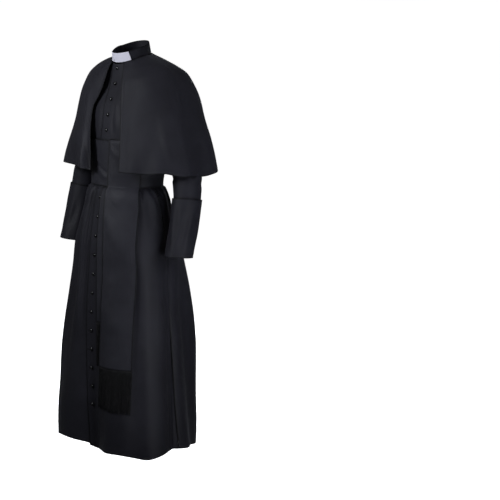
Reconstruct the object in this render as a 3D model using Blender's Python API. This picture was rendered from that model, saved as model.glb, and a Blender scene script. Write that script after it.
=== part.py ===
"""A worn clerical cassock with its shoulder cape and fringed sash, as hollow cloth pieces.

Metres, +Z up. The origin is the centre of the neck seam, the front faces -Y and the wearer's
left is +X. Turns are degrees about the vertical axis: 0 is the front and 90 the wearer's left.
"""

from math import cos, pi, radians, sin

import bmesh
import bpy
import numpy as np

# Driving sizes of the cloth
CLOTH = 0.0015
SEAM_GAP = 0.0003
HEM = -1.338
ARMHOLE_GAP = 0.0003

# The fronts: the wearer's left one laps over the right one, and the buttons sit on the centre line
LAP_EDGE = -0.026
UNDERLAP_EDGE = 0.022
LAP_EASE = 0.045
LAP_DROP = 0.006
BUTTON_RADIUS = 0.0058
BUTTON_HEIGHT = 0.0048
CHEST_BUTTONS = 5
CHEST_BUTTON_TOP = -0.038
CHEST_BUTTON_STEP = -0.0505
SKIRT_BUTTONS = 12
SKIRT_BUTTON_TOP = -0.461
SKIRT_BUTTON_STEP = -0.0637

# The sash
SASH_TOP = -0.272
SASH_BOTTOM = -0.425
SASH_CLOTH = 0.0018
SASH_OUT = 0.0008
SASH_COLUMNS = 48
TAIL_COLUMNS = 6
FRONT_TAIL_END = -1.018
BACK_TAIL_END = -0.872
FRINGE_LENGTH = 0.155
FRINGE_STRIP = 0.006
FRINGE_STRANDS = 32
STRAND_SHARE = 0.62

# Collar, cuffs and cape; the cape's front edges are turns at the neck and at the hem
COLLAR_CLOTH = 0.0022
COLLAR_COLUMNS = 24
TAB_HALF_TURNS = (38.5, 45.5)
TAB_ROWS = 3
TAB_CLOTH = 0.0012
TAB_OUT = 0.0008
TAB_INSET = 0.0015
TAB_COLUMNS = 9
CUFF_CLOTH = 0.0020
CUFF_OUT = 0.0006
CAPE_CLOTH = 0.0018
CAPE_COLUMNS = 41
CAPE_EDGE_LEFT = (25.0, 28.0)
# The turn of the cape's edge at the wearer's right, at these heights
CAPE_EDGE_RIGHT = (
    (0.0024, -24.0), (-0.050, -18.0), (-0.100, -22.0), (-0.145, -27.0), (-0.200, -23.0), (-0.280, -15.0),
    (-0.370, -9.5),
)

# Each row of a surface is one section. Its columns: height at the side, at the front and at the
# back, half width, y of the widest place, y of the front and of the back, and how square the front
# and the back half are (2 is an ellipse).
BODY_SECTIONS = (
    (0.0024, -0.0240, 0.0106, 0.0620, 0.000, -0.0650, 0.0670, 2.0, 2.0),
    (-0.0155, -0.0420, -0.0140, 0.1050, 0.005, -0.0650, 0.0830, 2.1, 2.2),
    (-0.0340, -0.0670, -0.0450, 0.1430, 0.010, -0.0680, 0.0980, 2.3, 2.6),
    (-0.0550, -0.0950, -0.0830, 0.1690, 0.012, -0.0745, 0.1080, 2.6, 3.0),
    (-0.0900, -0.1260, -0.1180, 0.1740, 0.012, -0.0860, 0.1140, 2.7, 3.0),
    (-0.1500, -0.1650, -0.1620, 0.1720, 0.010, -0.1010, 0.1180, 2.7, 2.9),
    (-0.2100, -0.2120, -0.2120, 0.1640, 0.002, -0.1100, 0.1130, 2.6, 2.8),
    (-0.2720, -0.2720, -0.2720, 0.1480, -0.007, -0.1165, 0.1020, 2.4, 2.6),
    (-0.3200, -0.3200, -0.3200, 0.1370, -0.013, -0.1195, 0.0930, 2.3, 2.3),
    (-0.3800, -0.3800, -0.3800, 0.1310, -0.019, -0.1240, 0.0860, 2.1, 2.1),
    (-0.4250, -0.4250, -0.4250, 0.1320, -0.022, -0.1280, 0.0840, 2.0, 2.0),
    (-0.4370, -0.4370, -0.4370, 0.1430, -0.023, -0.1350, 0.0885, 2.0, 2.0),
    (-0.4550, -0.4550, -0.4550, 0.1550, -0.023, -0.1400, 0.0930, 2.0, 2.0),
    (-0.4850, -0.4850, -0.4850, 0.1625, -0.021, -0.1460, 0.1030, 2.0, 2.0),
    (-0.5500, -0.5500, -0.5500, 0.1730, -0.019, -0.1560, 0.1170, 2.3, 2.3),
    (-0.6200, -0.6200, -0.6200, 0.1850, -0.018, -0.1660, 0.1280, 2.4, 2.4),
    (-0.7000, -0.7000, -0.7000, 0.1930, -0.011, -0.1715, 0.1490, 2.4, 2.4),
    (-0.8000, -0.8000, -0.8000, 0.2035, -0.012, -0.1800, 0.1570, 2.5, 2.5),
    (-0.9000, -0.9000, -0.9000, 0.2155, -0.013, -0.1860, 0.1610, 2.7, 2.6),
    (-1.0000, -1.0000, -1.0000, 0.2270, -0.015, -0.1930, 0.1640, 2.8, 2.6),
    (-1.1000, -1.1000, -1.1000, 0.2375, -0.017, -0.1990, 0.1640, 2.8, 2.6),
    (-1.2000, -1.2000, -1.2000, 0.2490, -0.020, -0.2040, 0.1620, 2.8, 2.6),
    (-1.3000, -1.3000, -1.3000, 0.2620, -0.022, -0.2020, 0.1570, 2.8, 2.6),
    (-1.3380, -1.3380, -1.3380, 0.2675, -0.023, -0.2000, 0.1540, 2.8, 2.6),
)
CAPE_SECTIONS = (
    (0.0024, -0.0213, 0.0106, 0.0637, 0.000, -0.0667, 0.0687, 2.0, 2.0),
    (-0.0100, -0.0380, -0.0050, 0.1060, 0.005, -0.0740, 0.0870, 2.2, 2.4),
    (-0.0280, -0.0610, -0.0340, 0.1460, 0.010, -0.0830, 0.1120, 2.4, 3.2),
    (-0.0490, -0.0900, -0.0620, 0.1740, 0.015, -0.0940, 0.1340, 2.6, 3.8),
    (-0.0900, -0.1250, -0.1120, 0.2000, 0.020, -0.1030, 0.1520, 2.6, 3.8),
    (-0.1450, -0.1750, -0.1680, 0.2260, 0.025, -0.1150, 0.1650, 2.4, 3.4),
    (-0.2100, -0.2320, -0.2280, 0.2510, 0.030, -0.1300, 0.1700, 2.2, 3.0),
    (-0.2700, -0.2830, -0.2800, 0.2740, 0.032, -0.1420, 0.1760, 2.1, 2.7),
    (-0.3250, -0.3300, -0.3290, 0.2890, 0.035, -0.1500, 0.1850, 2.1, 2.5),
    (-0.3700, -0.3700, -0.3700, 0.2990, 0.035, -0.1570, 0.1970, 2.1, 2.3),
)
COLLAR_SECTIONS = (
    (0.0340, 0.0130, 0.0520, 0.0530, -0.004, -0.0725, 0.0620, 2.0, 2.0),
    (0.0185, -0.0038, 0.0316, 0.0575, -0.002, -0.0690, 0.0645, 2.0, 2.0),
    (0.0030, -0.0205, 0.0112, 0.0620, 0.000, -0.0650, 0.0670, 2.0, 2.0),
)
TILT_EASE = 1.4

# The hem is higher at the front and sides than behind: the turn, and the rise over HEM there
HEM_RISE = (
    (-180.0, 0.000), (-130.0, 0.002), (-90.0, 0.012), (-60.0, 0.026), (-35.0, 0.044), (-15.0, 0.036),
    (0.0, 0.024), (20.0, 0.032), (40.0, 0.034), (60.0, 0.026), (80.0, 0.044), (105.0, 0.034),
    (130.0, 0.012), (155.0, 0.002), (180.0, 0.000),
)
HEM_RISE_FROM = -1.10

# Large folds. The columns: turn, spread in degrees, how far the fold stands out (or in) at its
# full depth, and the heights where it starts and where it is full.
SKIRT_FOLDS = (
    (0.0, 17.0, -0.042, -0.80, -1.36),
    (-34.0, 13.0, 0.012, -0.60, -1.30),
    (-64.0, 10.0, -0.010, -0.55, -1.20),
    (36.0, 14.0, 0.012, -0.60, -1.25),
    (62.0, 9.0, 0.008, -0.50, -1.10),
    (81.0, 6.5, -0.015, -0.50, -1.10),
    (98.0, 8.0, 0.006, -0.50, -1.20),
    (116.0, 7.0, -0.008, -0.50, -1.10),
    (134.0, 8.0, 0.006, -0.48, -1.20),
    (154.0, 8.0, -0.008, -0.48, -1.20),
    (176.0, 10.0, 0.008, -0.48, -1.20),
    (202.0, 8.0, -0.010, -0.48, -1.20),
    (228.0, 10.0, 0.010, -0.48, -1.20),
    (256.0, 9.0, -0.010, -0.50, -1.20),
    (280.0, 9.0, 0.008, -0.55, -1.20),
)
CAPE_FOLDS = (
    (46.0, 9.0, -0.007, -0.20, -0.38),
    (64.0, 8.0, 0.007, -0.18, -0.38),
    (86.0, 9.0, -0.010, -0.18, -0.38),
    (106.0, 9.0, 0.010, -0.16, -0.38),
    (128.0, 9.0, -0.010, -0.16, -0.38),
    (150.0, 10.0, 0.008, -0.16, -0.38),
    (180.0, 12.0, -0.006, -0.16, -0.38),
    (210.0, 10.0, 0.008, -0.16, -0.38),
    (232.0, 9.0, -0.010, -0.16, -0.38),
    (254.0, 9.0, 0.010, -0.16, -0.38),
    (274.0, 9.0, -0.010, -0.18, -0.38),
    (296.0, 8.0, 0.007, -0.18, -0.38),
    (314.0, 9.0, -0.007, -0.20, -0.38),
)

# Each tail's edges: the height, and the x of its right and left edge there
FRONT_TAIL = (
    (SASH_TOP + 0.004, 0.024, 0.100),
    (-0.370, 0.022, 0.116),
    (-0.422, 0.024, 0.1155),
    (-0.440, 0.025, 0.1235),
    (-0.462, 0.027, 0.130),
    (-0.526, 0.033, 0.139),
    (-0.630, 0.042, 0.150),
    (-0.740, 0.048, 0.158),
    (-0.860, 0.051, 0.165),
    (FRONT_TAIL_END, 0.052, 0.176),
    (FRONT_TAIL_END - FRINGE_LENGTH, 0.052, 0.184),
)
BACK_TAIL = (
    (SASH_BOTTOM - 0.004, 0.006, 0.110),
    (-0.526, 0.008, 0.122),
    (-0.634, 0.012, 0.130),
    (BACK_TAIL_END, 0.028, 0.150),
    (BACK_TAIL_END - FRINGE_LENGTH, 0.030, 0.158),
)
FRONT_TAIL_OUT = 0.0056
BACK_TAIL_OUT = 0.0028

# Gathers held under the sash, as a wave that dies out down the skirt
GATHERS = 22
GATHER_DEPTH = 0.0032
GATHER_TOP = -0.430
GATHER_PEAK = -0.462
GATHER_END = -0.620
GATHER_CLEAR = (8.0, 24.0)

# Sleeve sections. The columns: x, y and z of the centre, how far the section's plane leans outwards
# from upright and then forwards (degrees), and its half size across the arm and from front to back
HEAD_SECTION = (0.1600, 0.028, -0.1485, 6.5, 0.0, 0.0930, 0.0600)
SLEEVE_SECTIONS = (
    (0.1783, 0.031, -0.1755, 13.0, 0.0, 0.0795, 0.0585),
    (0.1918, 0.034, -0.2085, 30.0, 0.0, 0.0592, 0.0570),
    (0.2028, 0.038, -0.2430, 57.0, 0.0, 0.0470, 0.0545),
    (0.2125, 0.041, -0.2870, 80.0, 0.0, 0.0455, 0.0520),
    (0.2265, 0.034, -0.3400, 80.0, -4.0, 0.0480, 0.0500),
    (0.2430, 0.020, -0.3980, 81.0, -9.0, 0.0480, 0.0490),
    (0.2530, 0.010, -0.4550, 85.0, -9.0, 0.0455, 0.0460),
    (0.2570, -0.010, -0.5500, 87.0, -8.0, 0.0440, 0.0450),
    (0.2600, -0.0345, -0.6390, 87.0, -6.0, 0.0430, 0.0450),
)
CUFF_FIRST_SECTION = 6
CUFF_OVERHANG = 0.0035

MATERIALS = {
    "twill": ((0.008, 0.009, 0.014), 0.85),
    "sash_cloth": ((0.010, 0.011, 0.017), 0.78),
    "tab_white": ((0.80, 0.80, 0.86), 0.55),
    "button_black": ((0.006, 0.006, 0.008), 0.25),
    "fringe_black": ((0.004, 0.004, 0.006), 0.90),
}


def clear_scene():
    for obj in list(bpy.data.objects):
        bpy.data.objects.remove(obj, do_unlink=True)


def new_collection(name):
    collection = bpy.data.collections.new(name)
    bpy.context.scene.collection.children.link(collection)
    return collection


def make_materials():
    made = {}
    for name, (colour, roughness) in MATERIALS.items():
        material = bpy.data.materials.new(name)
        material.use_nodes = True
        shader = material.node_tree.nodes["Principled BSDF"]
        shader.inputs["Base Color"].default_value = (*colour, 1.0)
        shader.inputs["Roughness"].default_value = roughness
        shader.inputs["Metallic"].default_value = 0.0
        made[name] = material
    return made


def smooth_step(value, start, end):
    """0 at start and 1 at end, easing in and out."""
    share = np.clip((value - start) / (end - start), 0.0, 1.0)
    return share * share * (3.0 - 2.0 * share)


def through(heights, columns, level):
    """The columns at a level, on smooth curves through the rows that never overshoot them."""
    order = np.argsort(heights)
    x = heights[order]
    y = columns[order]
    step = np.diff(x)
    slope = np.diff(y, axis=0) / step[:, None]
    tangent = np.zeros_like(y)
    tangent[0] = slope[0]
    tangent[-1] = slope[-1]
    same_way = slope[:-1] * slope[1:] > 0
    mean = 2.0 * slope[:-1] * slope[1:] / np.where(same_way, slope[:-1] + slope[1:], 1.0)
    tangent[1:-1] = np.where(same_way, mean, 0.0)
    level = np.clip(level, x[0], x[-1])
    i = np.clip(np.searchsorted(x, level, side="right") - 1, 0, len(step) - 1)
    h = step[i][..., None]
    t = ((level - x[i]) / step[i])[..., None]
    start = (1 + 2 * t) * (1 - t) ** 2 * y[i] + t * (1 - t) ** 2 * h * tangent[i]
    end = t * t * (3 - 2 * t) * y[i + 1] + t * t * (t - 1) * h * tangent[i + 1]
    return start + end


def hem_rise(turn):
    """How far the hem rises over HEM at a turn."""
    table = np.array(HEM_RISE)
    return through(table[:, 0], table[:, 1:], (turn + 180.0) % 360.0 - 180.0)[..., 0]


def gather_depth(level):
    """How far the gathers stand out at a level."""
    grows = smooth_step(level, GATHER_TOP, GATHER_PEAK)
    return GATHER_DEPTH * grows * (1.0 - smooth_step(level, GATHER_PEAK, GATHER_END))


class Rings:
    """A cloth surface through sections around the vertical axis, with folds in it."""

    def __init__(self, sections, folds=(), gathers=False, skirt=False):
        table = np.array(sections)
        self.heights = table[:, 0]
        self.columns = table[:, 1:]
        self.folds = folds
        self.gathers = gathers
        self.skirt = skirt

    def radius_change(self, turn, level):
        change = np.zeros_like(turn)
        for centre, spread, depth, starts, full in self.folds:
            away = (turn - centre + 180.0) % 360.0 - 180.0
            change = change + depth * np.exp(-(away / spread) ** 2) * smooth_step(level, starts, full)
        if self.gathers:
            wave = np.cos(np.radians(turn) * GATHERS + 0.9 * np.sin(np.radians(turn) * 3.0))
            from_front = np.abs((turn + 180.0) % 360.0 - 180.0)
            change = change + gather_depth(level) * wave * smooth_step(from_front, *GATHER_CLEAR)
        return change

    def point(self, turn, level):
        """The surface's points at these turns (degrees) and side heights."""
        turn, level = np.broadcast_arrays(np.asarray(turn, float), np.asarray(level, float))
        row = through(self.heights, self.columns, level)
        front, back, half_width, middle, front_y, back_y, front_square, back_square = np.moveaxis(row, -1, 0)
        s = np.sin(np.radians(turn))
        c = np.cos(np.radians(turn))
        depth = np.where(c > 0, middle - front_y, back_y - middle)
        square = np.where(c > 0, front_square, back_square)
        reach = ((np.abs(s) / half_width) ** square + (np.abs(c) / depth) ** square) ** (-1.0 / square)
        reach = reach + self.radius_change(turn, level)
        end = np.where(c > 0, front, back)
        z = level + (end - level) * np.abs(c) ** TILT_EASE
        if self.skirt:
            z = z + hem_rise(turn) * smooth_step(level, HEM_RISE_FROM, HEM)
        return np.stack((reach * s, middle - reach * c, z), axis=-1)

    def normal(self, turn, level):
        """The outward unit normals there."""
        turn, level = np.broadcast_arrays(np.asarray(turn, float), np.asarray(level, float))
        small_turn = 0.4
        small_level = 0.002
        top = self.heights.max()
        bottom = self.heights.min()
        around = self.point(turn + small_turn, level) - self.point(turn - small_turn, level)
        above = np.minimum(level + small_level, top)
        below = np.maximum(level - small_level, bottom)
        down = self.point(turn, below) - self.point(turn, above)
        normal = np.cross(down, around)
        return normal / np.linalg.norm(normal, axis=-1, keepdims=True)

    def turn_at_x(self, x, level, first=0.0):
        """The turns near the front where the surface has these x values."""
        turn = np.full(np.shape(level), float(first))
        for _ in range(30):
            here = self.point(turn, level)[..., 0]
            ahead = self.point(turn + 0.2, level)[..., 0]
            turn = turn + np.clip((x - here) * 0.2 / (ahead - here), -12.0, 12.0)
        return turn


BODY = Rings(BODY_SECTIONS, SKIRT_FOLDS, gathers=True, skirt=True)
UNGATHERED = Rings(BODY_SECTIONS, SKIRT_FOLDS, skirt=True)
CAPE = Rings(CAPE_SECTIONS, CAPE_FOLDS)
COLLAR = Rings(COLLAR_SECTIONS)


def add_mesh(name, vertices, faces, material, collection):
    mesh = bpy.data.meshes.new(name)
    mesh.from_pydata([tuple(v) for v in vertices], [], faces)
    mesh.materials.append(material)
    mesh.shade_smooth()
    mesh.set_sharp_from_angle(angle=radians(40))
    obj = bpy.data.objects.new(name, mesh)
    collection.objects.link(obj)
    return obj


def wall(name, outer, inner, closed, material, collection):
    """One closed solid between an outer and an inner grid of points, rows by columns. A closed
    wall goes round and joins its last column to its first. Every cell is split the same way, so
    that cloths made from the same points nest."""
    rows, columns = outer.shape[:2]
    count = rows * columns
    vertices = np.concatenate((outer.reshape(-1, 3), inner.reshape(-1, 3)))
    faces = []
    last = columns if closed else columns - 1
    for j in range(last):
        k = (j + 1) % columns
        for i in range(rows - 1):
            a, b = i * columns + j, i * columns + k
            c, d = (i + 1) * columns + k, (i + 1) * columns + j
            faces += [(a, d, c), (a, c, b)]
            faces += [(count + a, count + c, count + d), (count + a, count + b, count + c)]
        end = (rows - 1) * columns
        faces.append((j, k, count + k, count + j))
        faces.append((end + k, end + j, count + end + j, count + end + k))
    if not closed:
        for i in range(rows - 1):
            a, d = i * columns, (i + 1) * columns
            faces.append((a, count + a, count + d, d))
            b, c = a + columns - 1, d + columns - 1
            faces.append((b, c, count + c, count + b))
    return add_mesh(name, vertices, faces, material, collection)


def layer(surface, turns, levels, out, thickness):
    """Outer and inner grids of a cloth whose inner face lies this far out of a surface."""
    points = surface.point(turns, levels)
    normals = surface.normal(turns, levels)
    out = np.asarray(out, float)[..., None] if np.ndim(out) else out
    return points + normals * (out + thickness), points + normals * out


def seam_shift(surface, turn, levels):
    """Half a seam's gap as an angle at each level."""
    here = surface.point(turn, levels)
    ahead = surface.point(turn + 0.5, levels)
    return 0.5 * (SEAM_GAP / 2.0) / np.linalg.norm(ahead - here, axis=-1)


def rows_between(top, bottom):
    """A piece's own top and bottom heights, with the body's sections between them."""
    inside = [level for level in BODY_LEVELS if bottom + 0.002 < level < top - 0.002]
    return np.array([top, *inside, bottom])


def spread_turns(first, last, count):
    """A grid of turns from a first to a last one, which may differ from row to row."""
    share = np.linspace(0.0, 1.0, count)[None, :]
    return np.asarray(first)[:, None] * (1.0 - share) + np.asarray(last)[:, None] * share


BODY_LEVELS = np.array([row[0] for row in BODY_SECTIONS])
SIDE_TURN = 90.0
LAP_COLUMNS = 2
HALF_FRONT_COLUMNS = 14
BACK_COLUMNS = 29
SLEEVE_COLUMNS = 16


def armhole_frame(side):
    """Centre and the three directions of an armhole: up its plane, forwards and out of it."""
    x, y, z, out, _, across, along = HEAD_SECTION
    up = np.array((side * sin(radians(out)), 0.0, cos(radians(out))))
    forward = np.array((0.0, -1.0, 0.0))
    outward = np.array((side * cos(radians(out)), 0.0, -sin(radians(out))))
    return np.array((side * x, y, z)), up, forward, outward, across, along


def armhole_cutter(side, collection):
    """An elliptic rod through the side of the body."""
    centre, up, forward, outward, across, along = armhole_frame(side)
    columns = SLEEVE_COLUMNS
    start, end = -0.075, 0.10
    ring = []
    for k in range(columns):
        angle = 2 * pi * k / columns
        ring.append(up * (across * cos(angle)) + forward * (along * sin(angle)))
    vertices = [centre + p + outward * start for p in ring] + [centre + p + outward * end for p in ring]
    faces = [tuple(range(columns)), tuple(range(2 * columns - 1, columns - 1, -1))]
    for k in range(columns):
        n = (k + 1) % columns
        faces.append((k, columns + k, columns + n, n))
    mesh = bpy.data.meshes.new("armhole_cutter")
    mesh.from_pydata([tuple(v) for v in vertices], [], faces)
    cutter_bmesh = bmesh.new()
    cutter_bmesh.from_mesh(mesh)
    bmesh.ops.recalc_face_normals(cutter_bmesh, faces=cutter_bmesh.faces)
    cutter_bmesh.to_mesh(mesh)
    cutter_bmesh.free()
    cutter = bpy.data.objects.new("armhole_cutter", mesh)
    cutter.display_type = "WIRE"
    cutter.hide_render = True
    collection.objects.link(cutter)
    return cutter


def cut(obj, cutter):
    modifier = obj.modifiers.new("armhole", "BOOLEAN")
    modifier.operation = "DIFFERENCE"
    modifier.object = cutter


def make_body(materials, parts, cutters):
    levels = BODY_LEVELS[:, None]
    rows = BODY_LEVELS
    armholes = {side: armhole_cutter(side, cutters) for side in (1, -1)}
    cloth = materials["twill"]

    lap = spread_turns(BODY.turn_at_x(LAP_EDGE, rows), BODY.turn_at_x(UNDERLAP_EDGE, rows), LAP_COLUMNS)

    side_left = np.full(len(rows), SIDE_TURN) - seam_shift(BODY, SIDE_TURN, rows)
    turns = np.hstack((lap, spread_turns(lap[:, -1], side_left, HALF_FRONT_COLUMNS)[:, 1:]))
    x = BODY.point(turns, levels)[..., 0]
    raised = (CLOTH + SEAM_GAP) * (1.0 - smooth_step(x, UNDERLAP_EDGE, UNDERLAP_EDGE + LAP_EASE))
    outer, inner = layer(BODY, turns, levels, raised - CLOTH, CLOTH)
    drop = LAP_DROP * (1.0 - smooth_step(x[-1], 0.0, 0.2))
    outer[-1, :, 2] -= drop
    inner[-1, :, 2] -= drop
    left = wall("front_left", outer, inner, False, cloth, parts)
    cut(left, armholes[1])

    side_right = np.full(len(rows), -SIDE_TURN) + seam_shift(BODY, -SIDE_TURN, rows)
    turns = np.hstack((spread_turns(side_right, lap[:, 0], HALF_FRONT_COLUMNS)[:, :-1], lap))
    outer, inner = layer(BODY, turns, levels, -CLOTH, CLOTH)
    right = wall("front_right", outer, inner, False, cloth, parts)
    cut(right, armholes[-1])

    start = np.full(len(rows), SIDE_TURN) + seam_shift(BODY, SIDE_TURN, rows)
    end = np.full(len(rows), 360.0 - SIDE_TURN) - seam_shift(BODY, -SIDE_TURN, rows)
    turns = spread_turns(start, end, BACK_COLUMNS)
    outer, inner = layer(BODY, turns, levels, -CLOTH, CLOTH)
    back = wall("back", outer, inner, False, cloth, parts)
    cut(back, armholes[1])
    cut(back, armholes[-1])


def on_body_along(target, up, forward, side, first_level):
    """The body's point that lies on the line through target along the armhole's outward way."""
    turn = side * SIDE_TURN
    level = first_level
    goal = np.array((target @ up, target @ forward))
    for _ in range(40):
        here = BODY.point(turn, level)
        miss = goal - np.array((here @ up, here @ forward))
        by_turn = (BODY.point(turn + 0.1, level) - here) / 0.1
        by_level = (BODY.point(turn, level - 0.0005) - here) / -0.0005
        jacobian = np.array(((by_turn @ up, by_level @ up), (by_turn @ forward, by_level @ forward)))
        change = np.linalg.solve(jacobian, miss)
        turn = turn + float(np.clip(change[0], -6.0, 6.0))
        level = float(np.clip(level + np.clip(change[1], -0.02, 0.02), -0.35, 0.0))
    return BODY.point(turn, level)


def sleeve_head(side):
    """The ring of points where the sleeve is sewn into the armhole."""
    centre, up, forward, _, across, along = armhole_frame(side)
    across = across - ARMHOLE_GAP
    along = along - ARMHOLE_GAP
    ring = []
    for k in range(SLEEVE_COLUMNS):
        angle = 2 * pi * k / SLEEVE_COLUMNS
        flat = centre + up * (across * cos(angle)) + forward * (along * sin(angle))
        ring.append(on_body_along(flat, up, forward, side, flat[2]))
    return np.array(ring)


def sleeve_ring(section, side, grow=0.0):
    x, y, z, out, lean, across, along = section
    outward = np.array((side * sin(radians(out)), 0.0, cos(radians(out))))
    flat_forward = np.array((0.0, -1.0, 0.0))
    axis = np.cross(outward, flat_forward) * side
    forward = flat_forward * cos(radians(lean)) + axis * sin(radians(lean))
    ring = []
    for k in range(SLEEVE_COLUMNS):
        angle = 2 * pi * k / SLEEVE_COLUMNS
        ring.append(outward * ((across + grow) * cos(angle)) + forward * ((along + grow) * sin(angle)))
    return np.array((side * x, y, z)) + np.array(ring)


def inset(rings, amount):
    """The rings drawn towards their own centres."""
    centres = rings.mean(axis=1, keepdims=True)
    away = rings - centres
    size = np.linalg.norm(away, axis=-1, keepdims=True)
    return centres + away * (1.0 - amount / size)


def make_sleeves(materials, parts):
    for side, name in ((1, "left"), (-1, "right")):
        rings = [sleeve_head(side)] + [sleeve_ring(row, side) for row in SLEEVE_SECTIONS]
        outer = np.array(rings)
        if side > 0:
            outer = outer[:, ::-1]
        wall(f"sleeve_{name}", outer, inset(outer, CLOTH), True, materials["twill"], parts)

        below = SLEEVE_SECTIONS[CUFF_FIRST_SECTION:]
        grow = CUFF_CLOTH + CUFF_OUT
        outer = np.array([sleeve_ring(row, side, grow) for row in below])
        way = outer[-1].mean(axis=0) - outer[-2].mean(axis=0)
        outer[-1] += way / np.linalg.norm(way) * CUFF_OVERHANG
        if side > 0:
            outer = outer[:, ::-1]
        wall(f"cuff_{name}", outer, inset(outer, CUFF_CLOTH), True, materials["twill"], parts)


def make_collar(materials, parts):
    levels = np.array([row[0] for row in COLLAR_SECTIONS])[:, None]
    turns = np.linspace(0.0, 360.0, COLLAR_COLUMNS, endpoint=False)[None, :]
    outer, inner = layer(COLLAR, turns, levels, -COLLAR_CLOTH, COLLAR_CLOTH)
    wall("collar", outer, inner, True, materials["twill"], parts)

    half_turns = np.linspace(*TAB_HALF_TURNS, TAB_ROWS)
    turns = spread_turns(-half_turns, half_turns, TAB_COLUMNS)
    top, bottom = levels.max() - TAB_INSET, levels.min() + TAB_INSET
    heights = np.linspace(top, bottom, TAB_ROWS)[:, None]
    outer, inner = layer(COLLAR, turns, heights, TAB_OUT, TAB_CLOTH)
    wall("collar_tab", outer, inner, False, materials["tab_white"], parts)


def make_cape(materials, parts):
    levels = np.array([row[0] for row in CAPE_SECTIONS])
    share = (levels[0] - levels) / (levels[0] - levels[-1])
    left = CAPE_EDGE_LEFT[0] + (CAPE_EDGE_LEFT[1] - CAPE_EDGE_LEFT[0]) * share
    edge = np.array(CAPE_EDGE_RIGHT)
    right = 360.0 + through(edge[:, 0], edge[:, 1:], levels)[:, 0]
    turns = spread_turns(left, right, CAPE_COLUMNS)
    outer, inner = layer(CAPE, turns, levels[:, None], 0.0, CAPE_CLOTH)
    wall("cape", outer, inner, False, materials["twill"], parts)


def make_sash(materials, parts):
    cloth = materials["sash_cloth"]
    heights = rows_between(SASH_TOP, SASH_BOTTOM)[:, None]
    turns = np.linspace(0.0, 360.0, SASH_COLUMNS, endpoint=False)[None, :]
    lap_room = CLOTH + SEAM_GAP
    x = BODY.point(turns, heights)[..., 0]
    near = 1.0 - smooth_step(np.abs(x), UNDERLAP_EDGE + LAP_EASE / 2, UNDERLAP_EDGE + LAP_EASE * 1.5)
    near = np.where(np.cos(np.radians(turns)) > 0, near, 0.0)
    outer, inner = layer(BODY, turns, heights, SASH_OUT + lap_room * near, SASH_CLOTH)
    wall("sash_band", outer, inner, True, cloth, parts)


def tail_turns(tail, heights, columns):
    table = np.array(tail)
    edges = through(table[:, 0], table[:, 1:], heights)
    start = UNGATHERED.turn_at_x(edges[:, 0], heights)
    end = UNGATHERED.turn_at_x(edges[:, 1], heights, 30.0)
    return spread_turns(start, end, columns)


def make_tail(name, tail, end, out, materials, parts):
    heights = rows_between(tail[0][0], end)
    turns = tail_turns(tail, heights, TAIL_COLUMNS)
    clear = out + gather_depth(heights)[:, None] + np.zeros_like(turns)
    outer, inner = layer(UNGATHERED, turns, heights[:, None], clear, SASH_CLOTH)
    wall(name, outer, inner, False, materials["sash_cloth"], parts)


def make_fringe(name, tail, tail_end, out, materials, parts):
    """A narrow strip just under the tail's end, with square strands hanging from it."""
    top = tail_end - SEAM_GAP
    end = top - FRINGE_LENGTH
    bend = [level for level in BODY_LEVELS if end + 0.02 < level < top - 0.02][0]
    heights = np.array((top, top - FRINGE_STRIP, bend, end))
    edges = 2 * FRINGE_STRANDS
    turns = tail_turns(tail, heights, edges)
    pitch = (turns[:, -1] - turns[:, 0]) / (edges - 1)
    grow = (STRAND_SHARE - 0.5) * pitch
    turns[:, 0::2] -= grow[:, None]
    turns[:, 1::2] += grow[:, None]
    strand = np.arange(edges) // 2
    sway = np.sin(strand * 2.4) * 0.18 + np.sin(strand * 0.9 + 1.0) * 0.14
    turns[2] += sway * pitch[2]
    turns[3] -= sway * pitch[3]
    levels = np.repeat(heights[:, None], edges, axis=1)
    levels[3] += np.sin(strand * 1.7) * 0.003
    outer, inner = layer(UNGATHERED, turns, levels, out, SASH_CLOTH)
    faces = []
    count = outer.shape[0] * edges
    for j in range(edges - 1):
        strand_column = j % 2 == 0
        rows = 3 if strand_column else 1
        for i in range(rows):
            a, b = i * edges + j, i * edges + j + 1
            c, d = b + edges, a + edges
            faces.append((a, d, c, b))
            faces.append((count + a, count + b, count + c, count + d))
            if strand_column and i > 0 or j == 0:
                faces.append((a, count + a, count + d, d))
            if strand_column and i > 0 or j == edges - 2:
                faces.append((b, c, count + c, count + b))
        faces.append((j, j + 1, count + j + 1, count + j))
        tip = rows * edges + j
        faces.append((tip + 1, tip, count + tip, count + tip + 1))
    vertices = np.concatenate((outer.reshape(-1, 3), inner.reshape(-1, 3)))
    add_mesh(name, vertices, faces, materials["fringe_black"], parts)


def lap_line():
    """The left front's outer points on the centre line, row by row, on its flat lap."""
    edges = []
    for x in (LAP_EDGE, UNDERLAP_EDGE):
        turns = BODY.turn_at_x(x, BODY_LEVELS)
        edges.append(BODY.point(turns, BODY_LEVELS) + BODY.normal(turns, BODY_LEVELS) * (CLOTH + SEAM_GAP))
    right, left = edges
    share = -right[:, :1] / (left[:, :1] - right[:, :1])
    return right + (left - right) * share


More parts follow.
